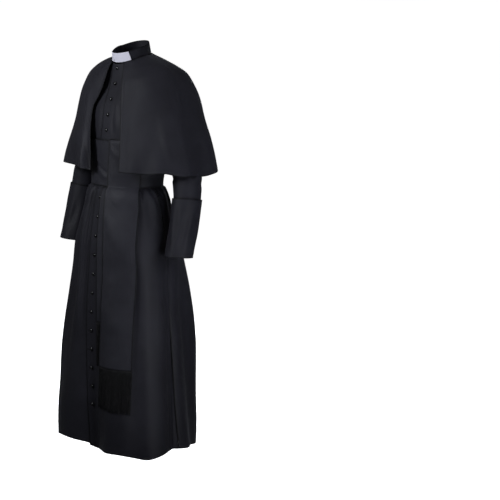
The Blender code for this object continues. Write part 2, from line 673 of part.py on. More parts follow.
def make_buttons(materials, parts):
    heights = [CHEST_BUTTON_TOP + CHEST_BUTTON_STEP * i for i in range(CHEST_BUTTONS)]
    heights += [SKIRT_BUTTON_TOP + SKIRT_BUTTON_STEP * i for i in range(SKIRT_BUTTONS)]
    line = lap_line()
    for number, height in enumerate(heights, 1):
        below = int(np.argmax(line[:, 2] < height))
        upper, lower = line[below - 1], line[below]
        share = (upper[2] - height) / (upper[2] - lower[2])
        point = upper + (lower - upper) * share
        way = (lower - upper) / np.linalg.norm(lower - upper)
        normal = np.cross(way, (1.0, 0.0, 0.0))
        button = bmesh.new()
        bmesh.ops.create_uvsphere(button, u_segments=8, v_segments=4, radius=1.0)
        bmesh.ops.scale(button, vec=(BUTTON_RADIUS, BUTTON_RADIUS, BUTTON_HEIGHT / 2.0), verts=button.verts)
        mesh = bpy.data.meshes.new(f"button_{number:02d}")
        button.to_mesh(mesh)
        button.free()
        mesh.materials.append(materials["button_black"])
        mesh.shade_smooth()
        obj = bpy.data.objects.new(mesh.name, mesh)
        obj.location = point + normal * (SEAM_GAP + BUTTON_HEIGHT / 2.0)
        obj.location.x = 0.0
        obj.rotation_euler = (radians(90) - np.arcsin(normal[2]), 0.0, 0.0)
        parts.objects.link(obj)


def main():
    clear_scene()
    parts = new_collection("cassock")
    cutters = new_collection("cutters")
    materials = make_materials()
    make_body(materials, parts, cutters)
    make_sleeves(materials, parts)
    make_collar(materials, parts)
    make_cape(materials, parts)
    make_sash(materials, parts)
    make_tail("sash_tail_front", FRONT_TAIL, FRONT_TAIL_END, FRONT_TAIL_OUT, materials, parts)
    make_tail("sash_tail_back", BACK_TAIL, BACK_TAIL_END, BACK_TAIL_OUT, materials, parts)
    make_fringe("fringe_front", FRONT_TAIL, FRONT_TAIL_END, FRONT_TAIL_OUT, materials, parts)
    make_fringe("fringe_back", BACK_TAIL, BACK_TAIL_END, BACK_TAIL_OUT, materials, parts)
    make_buttons(materials, parts)


main()
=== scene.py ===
"""The looks of a worn clerical cassock with its shoulder cape and fringed sash.

Metres, +Z up. The origin is the centre of the neck seam, the front faces -Y and the wearer's
left is +X. Turns are degrees about the vertical axis: 0 is the front and 90 the wearer's left.
Every cloth is a fine thin shell on the same sections as its solid, with its creases in it.
"""

from math import atan, cos, pi, radians, sin

import bmesh
import bpy
import numpy as np
from mathutils import Matrix, Vector


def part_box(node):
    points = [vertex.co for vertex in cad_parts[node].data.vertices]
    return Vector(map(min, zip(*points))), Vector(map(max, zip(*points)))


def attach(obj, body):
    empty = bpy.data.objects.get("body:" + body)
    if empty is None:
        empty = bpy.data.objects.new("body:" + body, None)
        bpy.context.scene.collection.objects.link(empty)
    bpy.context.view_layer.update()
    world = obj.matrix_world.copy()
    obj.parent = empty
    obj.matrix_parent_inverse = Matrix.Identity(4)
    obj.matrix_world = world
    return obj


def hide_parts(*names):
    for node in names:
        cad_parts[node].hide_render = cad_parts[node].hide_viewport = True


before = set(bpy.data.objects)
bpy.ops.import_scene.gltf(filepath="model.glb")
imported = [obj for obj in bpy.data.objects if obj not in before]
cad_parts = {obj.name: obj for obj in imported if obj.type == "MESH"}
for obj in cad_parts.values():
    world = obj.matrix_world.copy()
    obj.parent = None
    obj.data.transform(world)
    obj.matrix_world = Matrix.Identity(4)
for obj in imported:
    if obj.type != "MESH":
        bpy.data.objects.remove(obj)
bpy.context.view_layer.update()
ROOT = "root"

# Driving sizes, the same as the solids'
CLOTH = 0.0015
SEAM_GAP = 0.0003
HEM = -1.338
LAP_EDGE = -0.026
UNDERLAP_EDGE = 0.022
LAP_EASE = 0.045
LAP_DROP = 0.006
BUTTON_HEIGHT = 0.0048
BUTTON_RADIUS = 0.0058
CHEST_BUTTONS = 5
CHEST_BUTTON_TOP = -0.038
CHEST_BUTTON_STEP = -0.0505
SKIRT_BUTTONS = 12
SKIRT_BUTTON_TOP = -0.461
SKIRT_BUTTON_STEP = -0.0637
SASH_TOP = -0.272
SASH_BOTTOM = -0.425
SASH_CLOTH = 0.0018
SASH_OUT = 0.0008
FRONT_TAIL_END = -1.018
BACK_TAIL_END = -0.872
FRONT_TAIL_OUT = 0.0056
BACK_TAIL_OUT = 0.0028
FRINGE_LENGTH = 0.155
FRINGE_STRIP = 0.006
COLLAR_CLOTH = 0.0022
TAB_HALF_TURNS = (38.5, 45.5)
TAB_ROWS = 20
TAB_CLOTH = 0.0012
TAB_OUT = 0.0008
TAB_INSET = 0.0015
CUFF_CLOTH = 0.0020
CUFF_OUT = 0.0006
CUFF_OVERHANG = 0.0035
CUFF_FIRST_SECTION = 6
CAPE_CLOTH = 0.0018
CAPE_EDGE_LEFT = (25.0, 28.0)
# The turn of the cape's edge at the wearer's right, at these heights
CAPE_EDGE_RIGHT = (
    (0.0024, -24.0), (-0.050, -18.0), (-0.100, -22.0), (-0.145, -27.0), (-0.200, -23.0), (-0.280, -15.0),
    (-0.370, -9.5),
)
SIDE_TURN = 90.0
TILT_EASE = 1.4
HEM_RISE_FROM = -1.10

# The visible cloth is thinner than the solids' walls, measured in from their outer faces
SHELL = 0.0010
# How wide the rounding of a cloth's edge is and its segments
CLOTH_EDGE = (0.0003, 2)
# How far inside the cloth's edges their stitched seams run
HEM_TURNED = 0.030
LAP_SEAM = 0.008
CUFF_SEAM = 0.009
CAPE_SEAM = 0.010
SASH_SEAM = 0.008
TAIL_SEAM = 0.006
# The walls of cloths of two layers, and of the braid that holds the fringe with its size and relief
DOUBLE_SHELL = 0.0014
BRAID_SHELL = 0.0007
BRAID_ROWS = 5
BRAID_COLUMNS = 60
BRAID_RELIEF = 0.0004
# The rows of the sleeves and cuffs, how far a cuff stands out and how far a sleeve goes in under it
SLEEVE_STEP = 0.0042
CUFF_STEP = 0.0036
CUFF_STAND = 0.0010
UNDER_CUFF = 0.0006
# How finely the cloths are divided across
LAP_COLUMNS = 11
FRONT_COLUMNS = 80
BACK_COLUMNS = 170
CAPE_COLUMNS = 330
TAIL_COLUMNS = 34

# Sections of the surfaces. The columns: height at the side, at the front and at the back, half
# width, y of the widest place, y of the front and of the back, and how square the front and the
# back half are.
BODY_SECTIONS = (
    (0.0024, -0.0240, 0.0106, 0.0620, 0.000, -0.0650, 0.0670, 2.0, 2.0),
    (-0.0155, -0.0420, -0.0140, 0.1050, 0.005, -0.0650, 0.0830, 2.1, 2.2),
    (-0.0340, -0.0670, -0.0450, 0.1430, 0.010, -0.0680, 0.0980, 2.3, 2.6),
    (-0.0550, -0.0950, -0.0830, 0.1690, 0.012, -0.0745, 0.1080, 2.6, 3.0),
    (-0.0900, -0.1260, -0.1180, 0.1740, 0.012, -0.0860, 0.1140, 2.7, 3.0),
    (-0.1500, -0.1650, -0.1620, 0.1720, 0.010, -0.1010, 0.1180, 2.7, 2.9),
    (-0.2100, -0.2120, -0.2120, 0.1640, 0.002, -0.1100, 0.1130, 2.6, 2.8),
    (-0.2720, -0.2720, -0.2720, 0.1480, -0.007, -0.1165, 0.1020, 2.4, 2.6),
    (-0.3200, -0.3200, -0.3200, 0.1370, -0.013, -0.1195, 0.0930, 2.3, 2.3),
    (-0.3800, -0.3800, -0.3800, 0.1310, -0.019, -0.1240, 0.0860, 2.1, 2.1),
    (-0.4250, -0.4250, -0.4250, 0.1320, -0.022, -0.1280, 0.0840, 2.0, 2.0),
    (-0.4370, -0.4370, -0.4370, 0.1430, -0.023, -0.1350, 0.0885, 2.0, 2.0),
    (-0.4550, -0.4550, -0.4550, 0.1550, -0.023, -0.1400, 0.0930, 2.0, 2.0),
    (-0.4850, -0.4850, -0.4850, 0.1625, -0.021, -0.1460, 0.1030, 2.0, 2.0),
    (-0.5500, -0.5500, -0.5500, 0.1730, -0.019, -0.1560, 0.1170, 2.3, 2.3),
    (-0.6200, -0.6200, -0.6200, 0.1850, -0.018, -0.1660, 0.1280, 2.4, 2.4),
    (-0.7000, -0.7000, -0.7000, 0.1930, -0.011, -0.1715, 0.1490, 2.4, 2.4),
    (-0.8000, -0.8000, -0.8000, 0.2035, -0.012, -0.1800, 0.1570, 2.5, 2.5),
    (-0.9000, -0.9000, -0.9000, 0.2155, -0.013, -0.1860, 0.1610, 2.7, 2.6),
    (-1.0000, -1.0000, -1.0000, 0.2270, -0.015, -0.1930, 0.1640, 2.8, 2.6),
    (-1.1000, -1.1000, -1.1000, 0.2375, -0.017, -0.1990, 0.1640, 2.8, 2.6),
    (-1.2000, -1.2000, -1.2000, 0.2490, -0.020, -0.2040, 0.1620, 2.8, 2.6),
    (-1.3000, -1.3000, -1.3000, 0.2620, -0.022, -0.2020, 0.1570, 2.8, 2.6),
    (-1.3380, -1.3380, -1.3380, 0.2675, -0.023, -0.2000, 0.1540, 2.8, 2.6),
)
CAPE_SECTIONS = (
    (0.0024, -0.0213, 0.0106, 0.0637, 0.000, -0.0667, 0.0687, 2.0, 2.0),
    (-0.0100, -0.0380, -0.0050, 0.1060, 0.005, -0.0740, 0.0870, 2.2, 2.4),
    (-0.0280, -0.0610, -0.0340, 0.1460, 0.010, -0.0830, 0.1120, 2.4, 3.2),
    (-0.0490, -0.0900, -0.0620, 0.1740, 0.015, -0.0940, 0.1340, 2.6, 3.8),
    (-0.0900, -0.1250, -0.1120, 0.2000, 0.020, -0.1030, 0.1520, 2.6, 3.8),
    (-0.1450, -0.1750, -0.1680, 0.2260, 0.025, -0.1150, 0.1650, 2.4, 3.4),
    (-0.2100, -0.2320, -0.2280, 0.2510, 0.030, -0.1300, 0.1700, 2.2, 3.0),
    (-0.2700, -0.2830, -0.2800, 0.2740, 0.032, -0.1420, 0.1760, 2.1, 2.7),
    (-0.3250, -0.3300, -0.3290, 0.2890, 0.035, -0.1500, 0.1850, 2.1, 2.5),
    (-0.3700, -0.3700, -0.3700, 0.2990, 0.035, -0.1570, 0.1970, 2.1, 2.3),
)
COLLAR_SECTIONS = (
    (0.0340, 0.0130, 0.0520, 0.0530, -0.004, -0.0725, 0.0620, 2.0, 2.0),
    (0.0185, -0.0038, 0.0316, 0.0575, -0.002, -0.0690, 0.0645, 2.0, 2.0),
    (0.0030, -0.0205, 0.0112, 0.0620, 0.000, -0.0650, 0.0670, 2.0, 2.0),
)

# The hem is higher at the front and sides than behind: the turn, and the rise over HEM there
HEM_RISE = (
    (-180.0, 0.000), (-130.0, 0.002), (-90.0, 0.012), (-60.0, 0.026), (-35.0, 0.044), (-15.0, 0.036),
    (0.0, 0.024), (20.0, 0.032), (40.0, 0.034), (60.0, 0.026), (80.0, 0.044), (105.0, 0.034),
    (130.0, 0.012), (155.0, 0.002), (180.0, 0.000),
)

# Large folds. The columns: turn, spread in degrees, how far the fold stands out (or in) at its
# full depth, and the heights where it starts and where it is full.
SKIRT_FOLDS = (
    (0.0, 17.0, -0.042, -0.80, -1.36),
    (-34.0, 13.0, 0.012, -0.60, -1.30),
    (-64.0, 10.0, -0.010, -0.55, -1.20),
    (36.0, 14.0, 0.012, -0.60, -1.25),
    (62.0, 9.0, 0.008, -0.50, -1.10),
    (81.0, 6.5, -0.015, -0.50, -1.10),
    (98.0, 8.0, 0.006, -0.50, -1.20),
    (116.0, 7.0, -0.008, -0.50, -1.10),
    (134.0, 8.0, 0.006, -0.48, -1.20),
    (154.0, 8.0, -0.008, -0.48, -1.20),
    (176.0, 10.0, 0.008, -0.48, -1.20),
    (202.0, 8.0, -0.010, -0.48, -1.20),
    (228.0, 10.0, 0.010, -0.48, -1.20),
    (256.0, 9.0, -0.010, -0.50, -1.20),
    (280.0, 9.0, 0.008, -0.55, -1.20),
)
CAPE_FOLDS = (
    (46.0, 9.0, -0.007, -0.20, -0.38),
    (64.0, 8.0, 0.007, -0.18, -0.38),
    (86.0, 9.0, -0.010, -0.18, -0.38),
    (106.0, 9.0, 0.010, -0.16, -0.38),
    (128.0, 9.0, -0.010, -0.16, -0.38),
    (150.0, 10.0, 0.008, -0.16, -0.38),
    (180.0, 12.0, -0.006, -0.16, -0.38),
    (210.0, 10.0, 0.008, -0.16, -0.38),
    (232.0, 9.0, -0.010, -0.16, -0.38),
    (254.0, 9.0, 0.010, -0.16, -0.38),
    (274.0, 9.0, -0.010, -0.18, -0.38),
    (296.0, 8.0, 0.007, -0.18, -0.38),
    (314.0, 9.0, -0.007, -0.20, -0.38),
)

# Each tail's edges: the height, and the x of its right and left edge there
FRONT_TAIL = (
    (SASH_TOP + 0.004, 0.024, 0.100),
    (-0.370, 0.022, 0.116),
    (-0.422, 0.024, 0.1155),
    (-0.440, 0.025, 0.1235),
    (-0.462, 0.027, 0.130),
    (-0.526, 0.033, 0.139),
    (-0.630, 0.042, 0.150),
    (-0.740, 0.048, 0.158),
    (-0.860, 0.051, 0.165),
    (FRONT_TAIL_END, 0.052, 0.176),
    (FRONT_TAIL_END - FRINGE_LENGTH, 0.052, 0.184),
)
BACK_TAIL = (
    (SASH_BOTTOM - 0.004, 0.006, 0.110),
    (-0.526, 0.008, 0.122),
    (-0.634, 0.012, 0.130),
    (BACK_TAIL_END, 0.028, 0.150),
    (BACK_TAIL_END - FRINGE_LENGTH, 0.030, 0.158),
)

# Gathers held under the sash, as a wave that dies out down the skirt
GATHERS = 22
GATHER_DEPTH = 0.0032
GATHER_TOP = -0.430
GATHER_PEAK = -0.462
GATHER_END = -0.620
GATHER_CLEAR = (8.0, 24.0)

# Sleeve sections. The columns: x, y and z of the centre, how far the section's plane leans outwards
# from upright and then forwards (degrees), and its half size across the arm and from front to back
HEAD_SECTION = (0.1600, 0.028, -0.1485, 6.5, 0.0, 0.0930, 0.0600)
SLEEVE_SECTIONS = (
    (0.1783, 0.031, -0.1755, 13.0, 0.0, 0.0795, 0.0585),
    (0.1918, 0.034, -0.2085, 30.0, 0.0, 0.0592, 0.0570),
    (0.2028, 0.038, -0.2430, 57.0, 0.0, 0.0470, 0.0545),
    (0.2125, 0.041, -0.2870, 80.0, 0.0, 0.0455, 0.0520),
    (0.2265, 0.034, -0.3400, 80.0, -4.0, 0.0480, 0.0500),
    (0.2430, 0.020, -0.3980, 81.0, -9.0, 0.0480, 0.0490),
    (0.2530, 0.010, -0.4550, 85.0, -9.0, 0.0455, 0.0460),
    (0.2570, -0.010, -0.5500, 87.0, -8.0, 0.0440, 0.0450),
    (0.2600, -0.0345, -0.6390, 87.0, -6.0, 0.0430, 0.0450),
)

# Creases, given one by one. The columns: turn and height where one starts and where it ends, how far
# it bows sideways, its half width, its depth (a ridge is above 0) and how much its sides differ.
SKIRT_TUCKS = (
    # held under the sash, behind
    (119.0, -0.424, 112.0, -0.490, 0.004, 0.0055, -0.0052, 0.3),
    (126.0, -0.424, 124.0, -0.520, -0.003, 0.0090, 0.0036, 0.0),
    (158.0, -0.424, 144.0, -0.500, 0.006, 0.0060, -0.0070, 0.4),
    (165.0, -0.424, 156.0, -0.560, 0.004, 0.0110, 0.0048, 0.0),
    (171.5, -0.424, 168.0, -0.480, 0.000, 0.0045, -0.0056, -0.3),
    (177.5, -0.424, 176.5, -0.520, 0.000, 0.0050, -0.0054, 0.2),
    (183.5, -0.424, 184.0, -0.580, -0.004, 0.0110, 0.0044, 0.0),
    (190.5, -0.424, 197.0, -0.490, 0.003, 0.0055, -0.0064, -0.3),
    (203.0, -0.424, 206.0, -0.550, 0.004, 0.0130, 0.0048, 0.0),
    (216.0, -0.424, 222.0, -0.466, 0.002, 0.0050, -0.0040, 0.2),
    (225.0, -0.424, 241.0, -0.520, -0.008, 0.0065, -0.0074, -0.4),
    (238.0, -0.424, 250.0, -0.545, -0.006, 0.0100, 0.0044, 0.0),
    # at the wearer's left side and hip
    (52.0, -0.424, 49.0, -0.480, 0.002, 0.0055, -0.0020, 0.2),
    (60.0, -0.424, 58.0, -0.545, 0.003, 0.0130, 0.0016, 0.0),
    (67.0, -0.424, 68.0, -0.490, 0.002, 0.0060, -0.0024, -0.3),
    (74.0, -0.424, 77.0, -0.560, -0.005, 0.0110, 0.0020, 0.0),
    (80.0, -0.424, 86.0, -0.500, -0.006, 0.0065, -0.0030, 0.3),
    (92.0, -0.424, 99.0, -0.490, -0.003, 0.0060, -0.0026, 0.0),
    (104.0, -0.424, 109.0, -0.530, -0.003, 0.0110, 0.0022, 0.2),
    # the same at the wearer's right side
    (-22.0, -0.424, -19.0, -0.500, 0.002, 0.0080, -0.0026, 0.2),
    (-46.0, -0.424, -44.0, -0.486, 0.002, 0.0055, -0.0044, 0.3),
    (-58.0, -0.424, -59.0, -0.550, -0.003, 0.0090, 0.0040, 0.0),
    (-66.0, -0.424, -71.0, -0.505, -0.004, 0.0060, -0.0052, -0.3),
    (-80.0, -0.424, -86.0, -0.520, -0.004, 0.0080, 0.0036, 0.0),
    (-89.0, -0.424, -95.0, -0.490, -0.003, 0.0055, -0.0044, 0.2),
)
SKIRT_CREASES = (
    # the strip beside the placket that catches the light, and the one on the lap
    (-27.5, -0.400, -19.5, -0.960, 0.004, 0.0120, 0.0075, 0.3),
    (-13.5, -0.430, -13.5, -0.900, 0.002, 0.0080, -0.0034, 0.0),
    (-38.0, -0.440, -31.0, -1.200, 0.006, 0.0180, -0.0060, 0.2),
    # long soft folds at the wearer's left, the deep one last
    (46.0, -0.560, 50.0, -1.300, -0.012, 0.0260, -0.0040, 0.2),
    (68.0, -0.500, 64.0, -1.620, 0.006, 0.0260, 0.0050, -0.2),
    (57.0, -0.900, 55.0, -1.620, 0.004, 0.0160, -0.0034, 0.0),
    (80.0, -0.500, 75.0, -1.620, 0.000, 0.0190, 0.0120, 0.1),
    (136.0, -0.560, 137.0, -1.620, -0.008, 0.0300, 0.0270, 0.2),
    (30.0, -1.000, 27.0, -1.620, 0.004, 0.0200, 0.0036, 0.2),
    # at the wearer's right
    (-50.0, -0.520, -52.0, -1.300, 0.012, 0.0220, 0.0060, 0.2),
    (-70.0, -0.500, -74.0, -1.620, -0.012, 0.0160, -0.0090, -0.3),
    (-84.0, -0.560, -88.0, -1.400, 0.010, 0.0220, 0.0056, 0.0),
    (-100.0, -0.620, -103.0, -1.620, -0.010, 0.0190, -0.0070, 0.2),
    # behind
    (142.0, -0.500, 141.0, -1.450, -0.010, 0.0190, -0.0080, 0.2),
    (152.0, -0.560, 152.0, -1.620, 0.008, 0.0240, 0.0050, 0.0),
    (159.0, -0.470, 160.0, -1.080, -0.006, 0.0170, 0.0050, -0.2),
    (171.0, -0.600, 173.0, -1.620, 0.008, 0.0230, -0.0056, 0.2),
    (188.0, -0.540, 190.0, -1.300, -0.010, 0.0250, -0.0055, 0.1),
    (213.0, -0.480, 216.0, -1.260, 0.012, 0.0200, 0.0070, 0.2),
    (225.0, -0.520, 229.0, -1.620, 0.012, 0.0170, -0.0095, -0.3),
    (243.0, -0.620, 246.0, -1.620, -0.008, 0.0220, 0.0055, 0.1),
)
# Folds that lie over the cloth beside them. The columns: turn and height where one starts and ends,
# how far its edge stands over that cloth, and over how many degrees the cloth comes back out, which
# is below 0 where it lies on the side of the smaller turns.
LYING_FOLDS = (
    (92.5, -0.480, 83.5, -1.338, 0.0190, 75.0),
    (-66.0, -0.500, -73.0, -1.338, 0.0090, -20.0),
    (156.0, -0.470, 153.0, -1.338, 0.0070, 16.0),
    (222.0, -0.480, 228.0, -1.338, 0.0080, 16.0),
)
# Over how many degrees the edge turns, by which share of its length the fold is full, and how many
# degrees from its edge the cloth beside it starts to be and is back out
FOLD_EDGE = 3.0
FOLD_GROWS = 0.45
FOLD_FADES = 70.0
FOLD_END = 100.0
CHEST_CREASES = (
    (9.0, -0.120, 16.0, -0.260, 0.004, 0.0100, -0.0022, 0.2),
    (-12.0, -0.150, -17.0, -0.262, -0.003, 0.0110, -0.0020, 0.0),
    (20.0, -0.170, 27.0, -0.262, 0.000, 0.0120, 0.0022, 0.0),
    (-3.0, -0.232, 12.0, -0.252, 0.001, 0.0070, -0.0014, 0.3),
)
CAPE_CREASES = (
    # the wearer's right edge is folded back: a lit strip with a dark hollow beside it
    (-49.0, -0.030, -24.0, -0.376, -0.009, 0.0115, 0.0105, -0.5),
    (-26.0, -0.215, -13.5, -0.376, 0.002, 0.0085, -0.0095, 0.2),
    (-68.0, -0.120, -44.0, -0.376, 0.006, 0.0160, -0.0040, 0.0),
    # front and shoulder at the wearer's left
    (34.0, -0.160, 34.0, -0.376, 0.003, 0.0110, -0.0018, 0.0),
    (48.0, -0.070, 41.0, -0.372, 0.006, 0.0240, 0.0030, 0.2),
    (60.0, -0.170, 52.0, -0.376, -0.004, 0.0160, -0.0030, 0.0),
    (61.5, -0.150, 67.0, -0.376, 0.008, 0.0150, -0.0070, 0.3),
    (74.0, -0.110, 79.5, -0.376, -0.004, 0.0190, 0.0070, 0.1),
    (92.0, -0.170, 96.0, -0.376, 0.004, 0.0160, -0.0046, 0.2),
    (104.0, -0.110, 108.0, -0.374, 0.006, 0.0170, 0.0022, 0.0),
    # behind
    (115.0, -0.120, 119.0, -0.376, -0.006, 0.0150, -0.0072, 0.2),
    (131.0, -0.080, 136.0, -0.374, 0.008, 0.0240, -0.0030, 0.0),
    (141.0, -0.160, 146.0, -0.376, 0.004, 0.0150, -0.0056, -0.2),
    (170.0, -0.040, 163.0, -0.320, -0.010, 0.0240, -0.0060, 0.2),
    (180.0, -0.160, 176.0, -0.376, 0.006, 0.0180, 0.0054, 0.0),
    (188.0, -0.150, 190.0, -0.376, 0.004, 0.0150, -0.0048, 0.2),
    (203.0, -0.070, 206.0, -0.374, -0.008, 0.0240, 0.0060, 0.1),
    (219.0, -0.140, 223.0, -0.376, 0.006, 0.0150, -0.0070, -0.3),
    (236.0, -0.110, 240.0, -0.374, -0.006, 0.0200, 0.0060, 0.0),
    # shoulder and front at the wearer's right
    (258.0, -0.140, 262.0, -0.376, 0.005, 0.0140, -0.0068, 0.2),
    (272.0, -0.110, 275.0, -0.374, -0.006, 0.0170, 0.0060, 0.0),
    (285.0, -0.140, 290.0, -0.376, 0.005, 0.0140, -0.0066, -0.2),
)
SASH_CREASES = (
    (-30.0, -0.336, 10.0, -0.384, 0.004, 0.0065, -0.0020, 0.3),
    (-24.0, -0.350, 14.0, -0.402, 0.004, 0.0080, 0.0024, 0.0),
    (-62.0, -0.300, -28.0, -0.322, 0.003, 0.0070, 0.0018, 0.0),
    (70.0, -0.318, 104.0, -0.352, -0.004, 0.0080, -0.0017, 0.2),
    (84.0, -0.372, 128.0, -0.398, 0.003, 0.0090, 0.0022, 0.0),
    (120.0, -0.296, 152.0, -0.338, 0.004, 0.0080, 0.0020, 0.2),
    (138.0, -0.390, 176.0, -0.352, 0.004, 0.0080, -0.0017, 0.0),
    (170.0, -0.312, 214.0, -0.334, -0.003, 0.0100, 0.0020, 0.1),
    (200.0, -0.404, 236.0, -0.362, 0.003, 0.0080, 0.0020, 0.0),
    (224.0, -0.302, 262.0, -0.326, 0.002, 0.0070, -0.0016, 0.0),
    (250.0, -0.386, 292.0, -0.356, -0.003, 0.0090, 0.0018, 0.2),
)
TAIL_CREASES = (
    (12.0, -0.290, 38.0, -0.330, 0.004, 0.0090, 0.0012, 0.0),
    (14.0, -0.440, 42.0, -0.530, 0.008, 0.0160, -0.0018, 0.2),
    (18.0, -0.500, 46.0, -0.640, 0.010, 0.0240, 0.0026, 0.0),
    (20.0, -0.720, 44.0, -0.660, -0.010, 0.0240, -0.0018, 0.2),
    (18.0, -0.800, 42.0, -0.900, 0.008, 0.0280, 0.0024, 0.0),
    (22.0, -1.000, 40.0, -0.940, -0.006, 0.0180, -0.0018, 0.0),
)
# On the sleeves the turn goes round the arm from its outer side to its front, and the second
# number is the distance down the sleeve from the armhole
SLEEVE_CREASES = (
    (40.0, 0.050, 120.0, 0.085, 0.006, 0.0070, -0.0030, 0.2),
    (150.0, 0.060, 220.0, 0.090, 0.006, 0.0070, -0.0034, 0.0),
    (70.0, 0.215, 170.0, 0.236, 0.010, 0.0070, -0.0030, 0.3),
    (30.0, 0.252, 130.0, 0.270, 0.008, 0.0080, 0.0020, 0.0),
    (95.0, 0.262, 190.0, 0.272, 0.006, 0.0060, -0.0026, 0.2),
    (200.0, 0.240, 290.0, 0.262, -0.006, 0.0080, -0.0020, 0.2),
    (-30.0, 0.230, 30.0, 0.300, 0.005, 0.0120, 0.0020, 0.0),
    (300.0, 0.270, 350.0, 0.300, 0.004, 0.0100, -0.0020, 0.0),
)
CUFF_CREASES = (
    (22.0, 0.012, 40.0, 0.190, 0.006, 0.0080, -0.0030, 0.3),
    (60.0, 0.020, 74.0, 0.190, -0.005, 0.0110, 0.0024, 0.0),
    (118.0, 0.030, 100.0, 0.180, 0.004, 0.0090, -0.0030, 0.2),
    (160.0, 0.010, 176.0, 0.110, 0.004, 0.0080, -0.0022, 0.0),
    (232.0, 0.040, 216.0, 0.190, 0.004, 0.0110, 0.0022, 0.0),
    (296.0, 0.010, 282.0, 0.150, 0.004, 0.0080, -0.0028, 0.2),
    (338.0, 0.060, 346.0, 0.190, -0.003, 0.0090, 0.0022, 0.0),
)

# The camera and where the garment's axis stands in its square picture
CAMERA_TURN = 47.0
CAMERA_DISTANCE = 4.9
CAMERA_HEIGHT = 0.2
CAMERA_DIP = 9.9
PICTURE_WIDTH = 500.0
FOCAL_PIXELS = 1456.0
AXIS_COLUMN = 132.0
SENSOR_WIDTH = 36.0
FLOOR_HEIGHT = -1.46
FLOOR_SIZE = 2000.0


def smooth_step(value, start, end):
    """0 at start and 1 at end, easing in and out."""
    share = np.clip((value - start) / (end - start), 0.0, 1.0)
    return share * share * (3.0 - 2.0 * share)


def bell(away, width):
    """1 at a place and nearly 0 from twice this width away from it."""
    return np.exp(-(away / width) ** 2)


def groove(away, inset, width, depth=0.0004):
    """A stitched groove this far inside an edge, from the distances to that edge."""
    return -depth * bell(away - inset, width)


def unit(vectors):
    return vectors / np.linalg.norm(vectors, axis=-1, keepdims=True)


def lengths_along(points):
    """How far each point is from the first one, along its line of points."""
    steps = np.linalg.norm(np.diff(points, axis=-2), axis=-1)
    return np.concatenate((np.zeros(steps.shape[:-1] + (1,)), np.cumsum(steps, axis=-1)), axis=-1)


def sampled(where, place, columns):
    """The columns between their rows, where the rows are at these places."""
    return np.stack([np.interp(where, place, column) for column in columns.T], axis=-1)


def eased(values, tangents, i, t, step):
    """Smooth curves from row i to the next one, at a share t of the step between them."""
    start = (1 + 2 * t) * (1 - t) ** 2 * values[i] + t * (1 - t) ** 2 * step * tangents[i]
    end = t * t * (3 - 2 * t) * values[i + 1] + t * t * (t - 1) * step * tangents[i + 1]
    return start + end


def through(table, level):
    """A table's other columns at a level of its first one, on curves that never overshoot its rows."""
    table = np.asarray(table)
    table = table[np.argsort(table[:, 0])]
    x, y = table[:, 0], table[:, 1:]
    step = np.diff(x)
    slope = np.diff(y, axis=0) / step[:, None]
    tangent = np.zeros_like(y)
    tangent[0], tangent[-1] = slope[0], slope[-1]
    same_way = slope[:-1] * slope[1:] > 0
    mean = 2.0 * slope[:-1] * slope[1:] / np.where(same_way, slope[:-1] + slope[1:], 1.0)
    tangent[1:-1] = np.where(same_way, mean, 0.0)
    level = np.clip(level, x[0], x[-1])
    i = np.clip(np.searchsorted(x, level, side="right") - 1, 0, len(step) - 1)
    return eased(y, tangent, i, ((level - x[i]) / step[i])[..., None], step[i][..., None])


def wrapped(turn):
    """The turn between -180 and 180 degrees."""
    return (turn + 180.0) % 360.0 - 180.0


def hem_rise(turn):
    return through(HEM_RISE, wrapped(turn))[..., 0]


def gather_depth(level):
    grows = smooth_step(level, GATHER_TOP, GATHER_PEAK)
    return GATHER_DEPTH * grows * (1.0 - smooth_step(level, GATHER_PEAK, GATHER_END))


